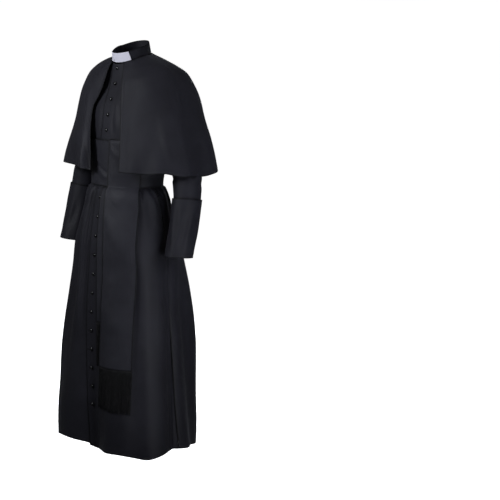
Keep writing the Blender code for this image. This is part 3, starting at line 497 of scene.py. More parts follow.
class Rings:
    """A cloth surface through sections around the vertical axis, with large folds in it."""

    def __init__(self, sections, folds=(), gathers=False, skirt=False):
        self.sections = sections
        self.folds = folds
        self.gathers = gathers
        self.skirt = skirt

    def radius_change(self, turn, level):
        change = np.zeros_like(turn)
        for centre, spread, depth, starts, full in self.folds:
            reached = depth * smooth_step(level, starts, full)
            change = change + reached * bell(wrapped(turn - centre), spread)
        if self.gathers:
            wave = np.cos(np.radians(turn) * GATHERS + 0.9 * np.sin(np.radians(turn) * 3.0))
            clear = smooth_step(np.abs(wrapped(turn)), *GATHER_CLEAR)
            change = change + gather_depth(level) * wave * clear
        return change

    def point(self, turn, level):
        """The surface's points at these turns and side heights."""
        turn, level = np.broadcast_arrays(np.asarray(turn, float), np.asarray(level, float))
        row = np.moveaxis(through(self.sections, level), -1, 0)
        front, back, half_width, middle, front_y, back_y, front_square, back_square = row
        s = np.sin(np.radians(turn))
        c = np.cos(np.radians(turn))
        depth = np.where(c > 0, middle - front_y, back_y - middle)
        square = np.where(c > 0, front_square, back_square)
        reach = ((np.abs(s) / half_width) ** square + (np.abs(c) / depth) ** square) ** (-1.0 / square)
        reach = reach + self.radius_change(turn, level)
        z = level + (np.where(c > 0, front, back) - level) * np.abs(c) ** TILT_EASE
        if self.skirt:
            z = z + hem_rise(turn) * smooth_step(level, HEM_RISE_FROM, HEM)
        return np.stack((reach * s, middle - reach * c, z), axis=-1)

    def normal(self, turn, level):
        """The outward unit normals there."""
        turn, level = np.broadcast_arrays(np.asarray(turn, float), np.asarray(level, float))
        small_turn = 0.4
        small_level = 0.002
        around = self.point(turn + small_turn, level) - self.point(turn - small_turn, level)
        above = np.minimum(level + small_level, self.sections[0][0])
        below = np.maximum(level - small_level, self.sections[-1][0])
        return unit(np.cross(self.point(turn, below) - self.point(turn, above), around))

    def out(self, turn, level, distance):
        """The surface's points moved out along its normals."""
        distance = np.asarray(distance, float)[..., None]
        return self.point(turn, level) + self.normal(turn, level) * distance

    def turn_at_x(self, x, level, first=0.0):
        """The turns near the front where the surface has these x values."""
        turn = np.full(np.shape(level), float(first))
        for _ in range(30):
            here = self.point(turn, level)[..., 0]
            ahead = self.point(turn + 0.2, level)[..., 0]
            turn = turn + np.clip((x - here) * 0.2 / (ahead - here), -12.0, 12.0)
        return turn


BODY = Rings(BODY_SECTIONS, SKIRT_FOLDS, gathers=True, skirt=True)
UNGATHERED = Rings(BODY_SECTIONS, SKIRT_FOLDS, skirt=True)
CAPE = Rings(CAPE_SECTIONS, CAPE_FOLDS)
COLLAR = Rings(COLLAR_SECTIONS)


def creased(rows, turn, level, metres_per_degree, rise=0.4, fall=0.4):
    """How far the creases in a table move the cloth out at these turns and heights. Each grows over
    the first share of its length and dies out over the last one."""
    relief = np.zeros(np.broadcast(turn, level).shape)
    for number, (turn_a, level_a, turn_b, level_b, bow, width, depth, skew) in enumerate(rows):
        x = wrapped(turn - turn_a) * metres_per_degree
        y = level - level_a
        along_x = (turn_b - turn_a) * metres_per_degree
        along_y = level_b - level_a
        length = np.hypot(along_x, along_y)
        t = (x * along_x + y * along_y) / length ** 2
        waver = 1.0 + 0.18 * np.sin(9.0 * t + 1.7 * number)
        side = (x * along_y - y * along_x) / length - bow * 4.0 * t * (1.0 - t)
        half = width * np.where(side > 0, 1.0 + skew, 1.0 - skew) * (1.0 + 0.25 * np.clip(t, 0.0, 1.0))
        shape = bell(side, half) - 0.28 * bell(np.abs(side) - 2.0 * half, half)
        ends = smooth_step(t, -0.05, rise) * (1.0 - smooth_step(t, 1.0 - fall, 1.06))
        relief = relief + depth * waver * ends * shape
    return relief


def lying_folds(turn, level):
    """How far the folds that lie over the cloth beside them leave that cloth further in."""
    relief = np.zeros(np.broadcast(turn, level).shape)
    for turn_a, level_a, turn_b, level_b, depth, spread in LYING_FOLDS:
        share = (level - level_a) / (level_b - level_a)
        away = wrapped(turn - turn_a - (turn_b - turn_a) * share) * np.sign(spread)
        step = smooth_step(away, -FOLD_EDGE / 2, FOLD_EDGE / 2) * smooth_step(away, FOLD_END, FOLD_FADES)
        back_out = np.exp(-np.maximum(away, 0.0) / abs(spread))
        relief = relief - depth * smooth_step(share, 0.0, FOLD_GROWS) * step * back_out
    return relief


UNEVEN_WAVES = 9


def uneven(turn, level, amount, seed):
    """Soft unevenness of worn cloth, which closes on itself around a ring."""
    rng = np.random.default_rng(seed)
    relief = np.zeros(np.broadcast(turn, level).shape)
    for _ in range(UNEVEN_WAVES):
        each_way = rng.choice((-1.0, 1.0))
        count = rng.integers(2, 13)
        rate = rng.uniform(6.0, 34.0) * each_way
        phase = rng.uniform(0.0, 2.0 * pi)
        relief = relief + np.sin(np.radians(turn) * count + level * rate + phase)
    return relief * amount / UNEVEN_WAVES ** 0.5


def heights_from(*spans):
    """Row heights from spans of (top, bottom, step)."""
    rows = [spans[0][:1]]
    for top, bottom, step in spans:
        count = max(2, round(abs(top - bottom) / step) + 1)
        rows.append(np.linspace(top, bottom, count)[1:])
    return np.concatenate(rows)


def spread_turns(first, last, count):
    """A grid of turns from a first to a last one, which may differ from row to row."""
    share = np.linspace(0.0, 1.0, count)[None, :]
    return np.asarray(first)[:, None] * (1.0 - share) + np.asarray(last)[:, None] * share


def ring_closed(points):
    return np.concatenate((points, points[:, :1]), axis=1)


def cut_places(points, closed):
    """Where each point lies on its flat cloth, in metres across and along it."""
    if closed:
        points = ring_closed(points)
    across = lengths_along(points)
    middle = points.shape[1] // 2
    across = across - across[:, middle:middle + 1]
    along = lengths_along(points[:, middle])
    return np.stack((across, np.broadcast_to(along[:, None], across.shape)), axis=-1)


def edge_distances(places, closed):
    """How far each place on the flat cloth is from its nearest cut edge, as a UV map's first value."""
    away = np.minimum(places[..., 1] - places[:1, :, 1], places[-1:, :, 1] - places[..., 1])
    if not closed:
        away = np.minimum(away, places[..., 0] - places[:, :1, 0])
        away = np.minimum(away, places[:, -1:, 0] - places[..., 0])
    return np.stack((away, np.zeros_like(away)), axis=-1)


def add_object(name, data):
    obj = bpy.data.objects.new(name, data)
    bpy.context.scene.collection.objects.link(obj)
    return obj


def add_mesh(name, vertices, faces, material, **maps):
    """A smooth mesh, with UV maps as the places of its faces' corners."""
    mesh = bpy.data.meshes.new(name)
    mesh.from_pydata(vertices.tolist(), [], faces)
    for map_name, corners in maps.items():
        layer = mesh.uv_layers.new(name=map_name)
        layer.data.foreach_set("uv", corners.astype(np.float32).ravel())
    mesh.materials.append(material)
    mesh.shade_smooth()
    return add_object(name, mesh)


def tubes(centres, sideways, outward, radii, sides):
    """The vertices and side faces of many tubes, from their rings' centres, ways across and radii."""
    angles = 2.0 * pi * np.arange(sides)[:, None] / sides
    ring = sideways[..., None, :] * np.cos(angles) + outward[..., None, :] * np.sin(angles)
    points = centres[..., None, :] + ring * radii[..., None, None]
    count, rings = centres.shape[:2]
    tube, ring, side = np.meshgrid(np.arange(count), np.arange(rings - 1), np.arange(sides), indexing="ij")
    base = (tube * rings + ring) * sides
    after = (side + 1) % sides
    faces = np.stack((base + side, base + after, base + sides + after, base + sides + side), axis=-1)
    return points.reshape(-1, 3), faces.reshape(-1, 4).tolist()


def grid_object(name, points, material, closed, keep):
    """A mesh through a grid of points, rows by columns, with its cloth's places as UV maps."""
    rows, columns = points.shape[:2]
    places = cut_places(points, closed)
    i, j = np.meshgrid(np.arange(rows - 1), np.arange(columns if closed else columns - 1), indexing="ij")
    if keep is not None:
        kept = keep[i, j] | keep[i + 1, j] | keep[i, j + 1] | keep[i + 1, j + 1]
        i, j = i[kept], j[kept]
    i, j = i.ravel(), j.ravel()
    corners = ((i, j), (i + 1, j), (i + 1, j + 1), (i, j + 1))
    faces = np.stack([a * columns + b % columns for a, b in corners], axis=1)
    used = np.unique(faces)
    place_of = np.zeros(rows * columns, int)
    place_of[used] = np.arange(len(used))
    maps = {"cut": places, "edge": edge_distances(places, closed)}
    maps = {key: np.stack([values[a, b] for a, b in corners], axis=1) for key, values in maps.items()}
    return add_mesh(name, points.reshape(-1, 3)[used], place_of[faces].tolist(), material, **maps)


def thicken(obj, thickness, rounding, segments):
    """Gives a cloth its thickness inwards and rounds its cut edges."""
    wall = obj.modifiers.new("thickness", "SOLIDIFY")
    wall.thickness = thickness
    wall.offset = -1.0
    edge = obj.modifiers.new("edges", "BEVEL")
    edge.width = rounding
    edge.segments = segments
    edge.limit_method = "ANGLE"
    edge.angle_limit = radians(60)


def cloth(name, points, slot, nodes=(), closed=False, thickness=SHELL, keep=None, edge=CLOTH_EDGE):
    """A piece of cloth through its outer points. Its edge is rounded by a width and in segments."""
    obj = grid_object(name, points, MATERIALS[slot], closed, keep)
    thicken(obj, thickness, *edge)
    finish_piece(obj, slot, *nodes)
    return obj


def finish_piece(obj, slot, *nodes):
    """The piece rides on the part's one body and stands for these nodes."""
    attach(obj, ROOT)
    if nodes:
        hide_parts(*nodes)


# Painted shade, a darker colour in corners and beside edges where shade falls: how far that reaches,
# the share of its colour left there, and how shut in a place is where the dark is full and where it ends
CORNER_SHADE_REACH = 0.011
CORNER_SHADE_DEPTH = 0.10
AO_DARK = 0.50
AO_CLEAR = 0.93
# A painted shadow line along each cut edge: where it starts to fade and ends, and its share of the colour
EDGE_SHADOW_SPAN = (0.0020, 0.0042)
EDGE_SHADOW_SHARE = 0.18


class Shader:
    """A Principled material and the nodes that vary it."""

    def __init__(self, name, **settings):
        self.material = bpy.data.materials.new(name)
        self.material.use_nodes = True
        self.tree = self.material.node_tree
        for socket, value in settings.items():
            self.surface(socket.replace("_", " "), value)

    def surface(self, socket, value):
        self.feed(self.tree.nodes["Principled BSDF"].inputs[socket], value)

    def feed(self, socket, value):
        if isinstance(value, bpy.types.NodeSocket):
            self.tree.links.new(value, socket)
        else:
            socket.default_value = value

    def node(self, kind, inputs=(), **settings):
        made = self.tree.nodes.new("ShaderNode" + kind)
        for name, value in settings.items():
            setattr(made, name, value)
        for place, value in dict(inputs).items():
            self.feed(made.inputs[place], value)
        return made

    def map(self, name):
        return self.node("UVMap", uv_map=name).outputs["UV"]

    def space(self):
        return self.node("TexCoord").outputs["Object"]

    def noise(self, vector, scale, detail=2.0, roughness=0.5):
        inputs = {"Vector": vector, "Scale": scale, "Detail": detail, "Roughness": roughness}
        return self.node("TexNoise", inputs).outputs["Fac"]

    def ranged(self, value, start, end, low, high=1.0):
        """A value from start to end becomes one from low to high."""
        inputs = {"Value": value, "From Min": start, "From Max": end, "To Min": low, "To Max": high}
        return self.node("MapRange", inputs).outputs["Result"]

    def rough(self, value, low, high):
        """The middle half of a 0 to 1 value gives a roughness from low to high."""
        self.surface("Roughness", self.ranged(value, 0.25, 0.75, low, high))

    def bands(self, vector, angle, pitch, distortion=0.0):
        """Bands this wide across a flat cloth, at an angle in degrees."""
        turned = self.node("Mapping", {"Vector": vector, "Rotation": (0.0, 0.0, radians(angle))})
        inputs = {"Vector": turned.outputs["Vector"], "Scale": 2.0 * pi / (20.0 * pitch)}
        inputs.update({"Distortion": distortion, "Detail": 1.0, "Detail Scale": 1.0})
        return self.node("TexWave", inputs, wave_type="BANDS", bands_direction="X").outputs["Fac"]

    def math(self, operation, first, second):
        return self.node("Math", {0: first, 1: second}, operation=operation).outputs[0]

    def mixed(self, *parts):
        """The sum of values, each given with its weight."""
        weighted = [self.math("MULTIPLY", value, weight) for value, weight in parts]
        total = weighted[0]
        for value in weighted[1:]:
            total = self.math("ADD", total, value)
        return total

    def bump(self, height, distance, strength, under=None):
        inputs = {"Height": height, "Distance": distance, "Strength": strength}
        if under is not None:
            inputs["Normal"] = under
        return self.node("Bump", inputs).outputs["Normal"]

    def ramp(self, value, low, high, start=0.0, end=1.0):
        """Colours from low to high where a value goes from start to end."""
        made = self.node("ValToRGB", {"Fac": value})
        for element, position, colour in zip(made.color_ramp.elements, (start, end), (low, high)):
            element.position = position
            element.color = (*colour, 1.0)
        return made.outputs["Color"]

    def darker(self, colour, share):
        return self.node("VectorMath", {0: colour, 1: share}, operation="MULTIPLY").outputs["Vector"]

    def shaded(self, colour):
        """A colour with painted shade in corners, beside edges and in a thin line along the cut edges."""
        corner = self.node("AmbientOcclusion", {"Distance": CORNER_SHADE_REACH}, samples=6).outputs["AO"]
        colour = self.darker(colour, self.ranged(corner, AO_DARK, AO_CLEAR, CORNER_SHADE_DEPTH))
        # The painted shadow line along the cut edges, by the distance to the nearest edge
        away = self.node("SeparateXYZ", {"Vector": self.map("edge")}).outputs["X"]
        return self.darker(colour, self.ranged(away, *EDGE_SHADOW_SPAN, EDGE_SHADOW_SHARE))

    def varied(self, colour, share):
        """A colour made lighter and darker by a 0 to 1 value."""
        return self.ramp(share, [c * 0.72 for c in colour], [c * 1.34 for c in colour], 0.25, 0.75)


def cloth_material(name, colour, roughness, pitch, angle):
    """Woven cloth: diagonal twill lines crossed by the yarns, soft puckers and uneven tone."""
    shader = Shader(name, Sheen_Weight=0.02, Sheen_Roughness=0.42, Specular_IOR_Level=0.14)
    shader.surface("Sheen Tint", (0.80, 0.84, 1.0, 1.0))
    cut = shader.map("cut")
    space = shader.space()
    twill = shader.bands(cut, angle, pitch, 0.6)
    yarn = shader.bands(cut, angle - 90.0, pitch * 0.62, 0.4)
    slub = shader.noise(cut, 0.55 / pitch, 3.0)
    weave = shader.mixed((twill, 0.65), (yarn, 0.20), (slub, 0.35))
    puckers = shader.noise(space, 34.0, 3.0, 0.45)
    patches = shader.noise(space, 8.0, 3.0, 0.55)
    tone = shader.mixed((patches, 0.7), (slub, 0.3))
    # The base colour carries painted shade in corners and beside edges, and a painted shadow line along the
    # cut edges
    shader.surface("Base Color", shader.shaded(shader.varied(colour, tone)))
    shader.rough(patches, roughness - 0.05, roughness + 0.05)
    soft = shader.bump(puckers, 0.0016, 0.5)
    shader.surface("Normal", shader.bump(weave, 0.00018, 0.6, soft))
    return shader.material


def yarn_material(name, colour):
    """Twisted yarn: the two plies wind round each other along every strand."""
    shader = Shader(name, Specular_IOR_Level=0.15)
    space = shader.space()
    plies = shader.bands(shader.map("cut"), 32.0, 0.0016, 0.3)
    shader.surface("Base Color", shader.varied(colour, shader.noise(space, 120.0)))
    shader.rough(shader.noise(space, 60.0), 0.55, 0.75)
    shader.surface("Normal", shader.bump(plies, 0.0003, 0.8))
    return shader.material


def button_material():
    shader = Shader("button_black_gloss", Coat_Weight=0.25, Coat_Roughness=0.05, Specular_IOR_Level=0.35)
    space = shader.space()
    shader.surface("Base Color", shader.varied((0.0025, 0.0025, 0.0032), shader.noise(space, 300.0)))
    shader.rough(shader.noise(space, 500.0), 0.12, 0.20)
    shader.surface("Normal", shader.bump(shader.noise(space, 900.0), 0.00004, 0.4))
    return shader.material


def tab_material():
    """Smooth white plastic with a faint linen grain."""
    shader = Shader("tab_white_plastic", Coat_Weight=0.15, Coat_Roughness=0.3)
    cut = shader.map("cut")
    space = shader.space()
    grain = shader.math("ADD", shader.bands(cut, 0.0, 0.0007, 0.5), shader.bands(cut, 90.0, 0.0007, 0.5))
    tone = shader.ramp(shader.noise(space, 30.0), (0.61, 0.600, 0.676), (0.675, 0.665, 0.745))
    shader.surface("Base Color", tone)
    shader.rough(shader.noise(space, 80.0), 0.42, 0.52)
    shader.surface("Normal", shader.bump(grain, 0.00004, 0.35))
    return shader.material


def make_materials():
    """The materials by slot, and the thread of the stitches."""
    return {
        "twill": cloth_material("twill_cloth", (0.0118, 0.0116, 0.0155), 0.56, 0.0010, 58.0),
        "sash_cloth": cloth_material("sash_cloth_fine", (0.0150, 0.0149, 0.0192), 0.52, 0.0007, 45.0),
        "thread": yarn_material("sewing_thread", (0.018, 0.018, 0.023)),
        "fringe_black": yarn_material("fringe_yarn", (0.0075, 0.0075, 0.0080)),
        "button_black": button_material(),
        "tab_white": tab_material(),
    }


MATERIALS = make_materials()


ARMHOLE_DEPTH = 0.075


def armhole_frame(side):
    """Centre and the three directions of an armhole: up its plane, forwards and out of it."""
    x, y, z, out, _, across, along = HEAD_SECTION
    up = np.array((side * sin(radians(out)), 0.0, cos(radians(out))))
    forward = np.array((0.0, -1.0, 0.0))
    outward = np.array((side * cos(radians(out)), 0.0, -sin(radians(out))))
    return np.array((side * x, y, z)), up, forward, outward, across, along


def open_armholes(points):
    """Draws the points round each armhole onto its edge, and says which points stay."""
    keep = np.ones(points.shape[:2], bool)
    for side in (1, -1):
        centre, up, forward, outward, across, along = armhole_frame(side)
        away = points - centre
        u = away @ up
        f = away @ forward
        size = (u / across) ** 2 + (f / along) ** 2
        inside = (size < 1.0) & (away @ outward > -ARMHOLE_DEPTH)
        stretch = np.where(inside, 1.0 / np.sqrt(np.maximum(size, 1e-6)) - 1.0, 0.0)[..., None]
        points = points + stretch * (u[..., None] * up + f[..., None] * forward)
        keep &= ~inside
    return points, keep


def inset_line(points, inset, edge):
    """The line on a grid of points, and the way out of the cloth there, this far inside an edge."""
    outward = np.cross(np.gradient(points, axis=0), np.gradient(points, axis=1))
    outward = outward / np.maximum(np.linalg.norm(outward, axis=-1, keepdims=True), 1e-12)
    both = np.concatenate((points, outward), axis=-1)
    if edge in ("top", "bottom"):
        both = both.transpose(1, 0, 2)
    if edge in ("bottom", "last"):
        both = both[:, ::-1]
    away = lengths_along(both[..., :3])
    line = np.array([sampled(inset, place, row) for place, row in zip(away, both)])
    return line[:, :3], line[:, 3:]


STITCH_PITCH = 0.0036
STITCH_LENGTH = 0.0026
STITCH_RADIUS = 0.00027
STITCH_SIDES = 5
# Along a stitch: the place, and the share of its thickness and of its height over the cloth there
STITCH_SHAPE = (
    (-0.5, 0.55, -0.9), (-0.32, 0.95, 0.35), (0.0, 1.0, 0.6), (0.32, 0.95, 0.35), (0.5, 0.55, -0.9),
)


def sew(name, lines, slot):
    """Rows of single stitches along lines on the cloth. Each line is its points and the ways out."""
    shift, thick, height = np.array(STITCH_SHAPE).T[..., None]
    half = STITCH_PITCH / 2
    found = []
    for points, outward in lines:
        place = lengths_along(points)
        middles = np.arange(STITCH_PITCH, place[-1] - STITCH_PITCH, STITCH_PITCH)
        way = unit(sampled(middles + half, place, points) - sampled(middles - half, place, points))
        up = unit(sampled(middles, place, outward))
        found.append(np.stack((sampled(middles, place, points), way, up, np.cross(way, up))))
    centre, way, up, aside = np.concatenate(found, axis=1)[:, :, None]
    centres = centre + way * shift * STITCH_LENGTH + up * height * STITCH_RADIUS
    radii = np.broadcast_to(STITCH_RADIUS * thick[:, 0], centres.shape[:2])
    stitches = add_mesh(name, *tubes(centres, aside, up, radii, STITCH_SIDES), MATERIALS["thread"])
    finish_piece(stitches, slot)


BODY_ROWS = heights_from(
    (0.0024, -0.262, 0.006), (-0.262, -0.424, 0.012), (-0.424, -0.640, 0.0036), (-0.640, HEM, 0.0062)
)
SKIRT_METRES_PER_DEGREE = 0.0033
CHEST_METRES_PER_DEGREE = 0.0024
# The lap is nearly flat: the turns over which that ends, and the share of the skirt's creases on it
LAP_TURNS = (9.0, 15.0)
LAP_RELIEF = 0.15


def body_relief(turn, level):
    """The body cloth's creases: none under the sash."""
    skirt = creased(SKIRT_CREASES, turn, level, SKIRT_METRES_PER_DEGREE)
    skirt = skirt + creased(SKIRT_TUCKS, turn, level, SKIRT_METRES_PER_DEGREE, rise=0.02, fall=0.6)
    skirt = skirt + lying_folds(turn, level) + uneven(turn, level, 0.0010, 11)
    chest = creased(CHEST_CREASES, turn, level, CHEST_METRES_PER_DEGREE)
    chest = chest + uneven(turn, level, 0.0005, 12)
    below = smooth_step(level, SASH_BOTTOM, SASH_BOTTOM - 0.010)
    above = smooth_step(level, SASH_TOP, SASH_TOP + 0.030) * (1.0 - smooth_step(level, -0.06, 0.0))
    beside_lap = smooth_step(np.abs(wrapped(turn)), *LAP_TURNS)
    skirt = skirt * below * (LAP_RELIEF + (1.0 - LAP_RELIEF) * beside_lap)
    return skirt + chest * above * beside_lap


def seam_dip(turn):
    """The pressed groove along a side seam."""
    away = (np.abs(wrapped(turn)) - SIDE_TURN) * SKIRT_METRES_PER_DEGREE
    return 0.0003 * bell(np.abs(away) - 0.006, 0.003) - 0.0009 * bell(away, 0.0022)


def make_body():
    rows = BODY_ROWS
    levels = rows[:, None]
    lap = spread_turns(BODY.turn_at_x(LAP_EDGE, rows), BODY.turn_at_x(UNDERLAP_EDGE, rows), LAP_COLUMNS)
    side = np.full(len(rows), SIDE_TURN)

    def outer(turns, raised=0.0):
        relief = body_relief(turns, levels) + seam_dip(turns)
        return BODY.out(turns, levels, raised + relief + groove(levels - HEM, HEM_TURNED, 0.0025))

    turns = np.hstack((lap, spread_turns(lap[:, -1], side, FRONT_COLUMNS)[:, 1:]))
    x = BODY.point(turns, levels)[..., 0]
    raised = (CLOTH + SEAM_GAP) * (1.0 - smooth_step(x, UNDERLAP_EDGE, UNDERLAP_EDGE + LAP_EASE))
    left = outer(turns, raised)
    left[-4:, :, 2] -= LAP_DROP * (1.0 - smooth_step(x[-1], 0.0, 0.2)) * np.linspace(0.25, 1.0, 4)[:, None]
    right = outer(np.hstack((spread_turns(-side, lap[:, 0], FRONT_COLUMNS)[:, :-1], lap)))
    back = outer(spread_turns(side, 360.0 - side, BACK_COLUMNS))
    for node, points, flat, area in (
        ("front_left", left, (0.44, 1.36), 0.43),
        ("front_right", right, (0.44, 1.36), 0.43),
        ("back", back, (0.84, 1.38), 0.80),
    ):
        points, keep = open_armholes(points)
        piece = cloth(f"{node}_cloth", points, "twill", [node], keep=keep)
        lines = [inset_line(points, LAP_SEAM, "first")] if node == "front_left" else []
        lines.append(inset_line(points, HEM_TURNED, "bottom"))
        sew(f"{node}_stitches", lines, "twill")


# Seating a point on the body: the rounds, the small steps in turn and level that give its slopes, the
# most that a round moves either, and the lowest level
SEAT_ROUNDS = 40
SEAT_STEPS = (0.1, -0.0005)
SEAT_MOST = (6.0, 0.02)
SEAT_LOWEST = -0.35


def on_body_along(targets, up, forward, side):
    """The body's points on lines through the targets along the armhole's outward way."""
    turn = np.full(len(targets), side * SIDE_TURN)
    level = targets[:, 2].copy()
    small_turn, small_level = SEAT_STEPS
    most_turn, most_level = SEAT_MOST
    for _ in range(SEAT_ROUNDS):
        here = BODY.point(turn, level)
        miss_u = (targets - here) @ up
        miss_f = (targets - here) @ forward
        by_turn = (BODY.point(turn + small_turn, level) - here) / small_turn
        by_level = (BODY.point(turn, level + small_level) - here) / small_level
        a, b = by_turn @ up, by_level @ up
        c, d = by_turn @ forward, by_level @ forward
        whole = a * d - b * c
        turn = turn + np.clip((d * miss_u - b * miss_f) / whole, -most_turn, most_turn)
        level = level + np.clip((a * miss_f - c * miss_u) / whole, -most_level, most_level)
        level = np.clip(level, SEAT_LOWEST, 0.0)
    return BODY.point(turn, level)


def sleeve_ring(section, side, grow=0.0):
    x, y, z, out, lean, across, along = section
    outward = np.array((side * sin(radians(out)), 0.0, cos(radians(out))))
    flat_forward = np.array((0.0, -1.0, 0.0))
    axis = np.cross(outward, flat_forward) * side
    forward = flat_forward * cos(radians(lean)) + axis * sin(radians(lean))
    angles = np.radians(SLEEVE_DEGREES)[:, None]
    ring = outward * (across + grow) * np.cos(angles) + forward * (along + grow) * np.sin(angles)
    return np.array((side * x, y, z)) + ring


def loft(rings, step):
    """Rings put between these ones on smooth curves, about a step apart, and how far down each is."""
    rings = np.array(rings)
    place = lengths_along(rings.mean(axis=1))
    new_place = np.linspace(0.0, place[-1], round(place[-1] / step) + 1)
    i = np.clip(np.searchsorted(place, new_place, side="right") - 1, 0, len(place) - 2)
    h = (place[i + 1] - place[i])[:, None, None]
    t = (new_place - place[i])[:, None, None] / h
    return eased(rings, np.gradient(rings, place, axis=0), i, t, h), new_place


def tube_points(rings, relief, side):
    """The rings moved out from their own centres, in the order that puts their faces outwards."""
    points = rings + unit(rings - rings.mean(axis=1, keepdims=True)) * relief[..., None]
    return points[:, ::-1] if side > 0 else points


SLEEVE_METRES_PER_DEGREE = 0.00083
SLEEVE_COLUMNS = 72
SLEEVE_DEGREES = np.arange(SLEEVE_COLUMNS) * 360.0 / SLEEVE_COLUMNS


def make_sleeve(side, name):
    centre, up, forward, _, across, along = armhole_frame(side)
    angles = np.radians(SLEEVE_DEGREES)
    flat = centre + up * ((across - SEAM_GAP) * np.cos(angles))[:, None]
    flat = flat + forward * ((along - SEAM_GAP) * np.sin(angles))[:, None]
    head = on_body_along(flat, up, forward, side)
    rings, place = loft([head] + [sleeve_ring(row, side) for row in SLEEVE_SECTIONS], SLEEVE_STEP)
    down = place[:, None]
    relief = creased(SLEEVE_CREASES, SLEEVE_DEGREES, down, SLEEVE_METRES_PER_DEGREE)
    relief = (relief + uneven(SLEEVE_DEGREES, down, 0.0007, 21 + side)) * smooth_step(down, 0.0, 0.02)
    cuff_top = SLEEVE_SECTIONS[CUFF_FIRST_SECTION][2]
    bare = smooth_step(rings[..., 2].mean(axis=1), cuff_top + 0.01, cuff_top + 0.05)[:, None]
    points = tube_points(rings, relief * bare - UNDER_CUFF * (1.0 - bare), side)
    piece = cloth(f"sleeve_{name}_cloth", points, "twill", [f"sleeve_{name}"], closed=True)
    return piece


def make_cuff(side, name, sleeve):
    """The deep cuff, turned back over the sleeve's end."""
    rings = [sleeve_ring(row, side, CUFF_CLOTH + CUFF_OUT) for row in SLEEVE_SECTIONS[CUFF_FIRST_SECTION:]]
    rings[-1] = rings[-1] + unit(rings[-1].mean(axis=0) - rings[-2].mean(axis=0)) * CUFF_OVERHANG
    rings, place = loft(rings, CUFF_STEP)
    down = place[:, None]
    relief = creased(CUFF_CREASES, SLEEVE_DEGREES, down, SLEEVE_METRES_PER_DEGREE) + CUFF_STAND
    relief = relief + uneven(SLEEVE_DEGREES, down, 0.0005, 31 + side)
    for away in (down, place[-1] - down):
        relief = relief + groove(away, CUFF_SEAM, 0.0016, 0.0005)
    points = tube_points(rings, relief, side)
    node = f"cuff_{name}"
    piece = cloth(f"{node}_cloth", points, "twill", [node], closed=True, thickness=DOUBLE_SHELL)
    lines = [inset_line(ring_closed(points), CUFF_SEAM, edge) for edge in ("top", "bottom")]
    sew(f"{node}_stitches", lines, "twill")


COLLAR_ROWS = 18
COLLAR_COLUMNS = 144
COLLAR_EDGE = (0.0007, 3)
# How far inside the collar's top and bottom edges its seams run
COLLAR_SEAMS = (0.0045, 0.0035)
TAB_COLUMNS = 60
TAB_EDGE = (0.0004, 2)


def make_collar():
    """The standing band and the white tab on its front."""
    top, bottom = COLLAR_SECTIONS[0][0], COLLAR_SECTIONS[-1][0]
    levels = np.linspace(top, bottom, COLLAR_ROWS)[:, None]
    turns = np.linspace(0.0, 360.0, COLLAR_COLUMNS, endpoint=False)[None, :]
    relief = uneven(turns, levels, 0.0003, 41)
    lines = []
    upper, lower = COLLAR_SEAMS
    for edge, away, inset in (("top", top - levels, upper), ("bottom", levels - bottom, lower)):
        relief = relief + groove(away, inset, 0.0011)
        lines.append((inset, edge))
    points = COLLAR.out(turns, levels, relief)
    piece = cloth("collar_cloth", points, "twill", ["collar"], True, COLLAR_CLOTH, edge=COLLAR_EDGE)
    turned = [inset_line(ring_closed(points), *line) for line in lines]
    sew("collar_stitches", turned, "twill")

    half_turns = np.linspace(*TAB_HALF_TURNS, TAB_ROWS)
    turns = spread_turns(-half_turns, half_turns, TAB_COLUMNS)
    levels = np.linspace(top - TAB_INSET, bottom + TAB_INSET, TAB_ROWS)[:, None]
    points = COLLAR.out(turns, levels, TAB_OUT + TAB_CLOTH)
    cloth("collar_tab_shell", points, "tab_white", ["collar_tab"], thickness=TAB_CLOTH, edge=TAB_EDGE)


CAPE_METRES_PER_DEGREE = 0.0040
CAPE_EDGE_LIFT = 0.0010
# The fold of the cape's turned edge at the wearer's right: where it starts and is full, in metres
# from that edge, how far the cape lies in beside it and over what width it comes back out
CAPE_FOLD = (0.049, 0.054, 0.0055, 0.040)
# How far the cape's hem hangs below its mean line: the turn and the drop there
CAPE_DROP = (
    (28.0, 0.000), (50.0, 0.002), (64.0, -0.004), (76.0, 0.009), (92.0, 0.010), (102.0, 0.004),
    (112.0, -0.004), (128.0, -0.002), (150.0, 0.004), (180.0, 0.001), (208.0, 0.004), (232.0, -0.002),
    (250.0, -0.004), (262.0, 0.005), (284.0, 0.008), (300.0, -0.003), (322.0, -0.002), (338.0, 0.003),
    (352.0, 0.001),
)
CAPE_ROWS = heights_from((CAPE_SECTIONS[0][0], -0.05, 0.0036), (-0.05, CAPE_SECTIONS[-1][0], 0.0040))


def cape_edges(levels):
    """The turns of the cape's two front edges at these heights."""
    top, bottom = CAPE_SECTIONS[0][0], CAPE_SECTIONS[-1][0]
    share = (top - levels) / (top - bottom)
    left = CAPE_EDGE_LEFT[0] + (CAPE_EDGE_LEFT[1] - CAPE_EDGE_LEFT[0]) * share
    return left, 360.0 + through(CAPE_EDGE_RIGHT, levels)[..., 0]


def cape_relief(turns, levels):
    """The cape's creases, the grooves inside its edges, its lifted left edge and its turned right one."""
    relief = creased(CAPE_CREASES, turns, levels, CAPE_METRES_PER_DEGREE, rise=0.95, fall=0.0)
    relief = (relief + uneven(turns, levels, 0.0012, 51)) * smooth_step(levels, 0.0, -0.05)
    left, right = cape_edges(levels)
    metres = CAPE_METRES_PER_DEGREE * (0.35 + 0.65 * smooth_step(levels, 0.0, -0.20))
    from_left = (turns - left) * metres
    from_right = (right - turns) * metres
    for away in (from_left, from_right, levels - CAPE_SECTIONS[-1][0]):
        relief = relief + groove(away, CAPE_SEAM, 0.0016, 0.0006)
    relief = relief + CAPE_EDGE_LIFT * bell(from_left, 0.007)
    starts, full, depth, width = CAPE_FOLD
    fold = smooth_step(from_right, starts, full) * np.exp(-np.maximum(from_right - full, 0.0) / width)
    return relief - depth * fold * smooth_step(levels, -0.05, -0.18)


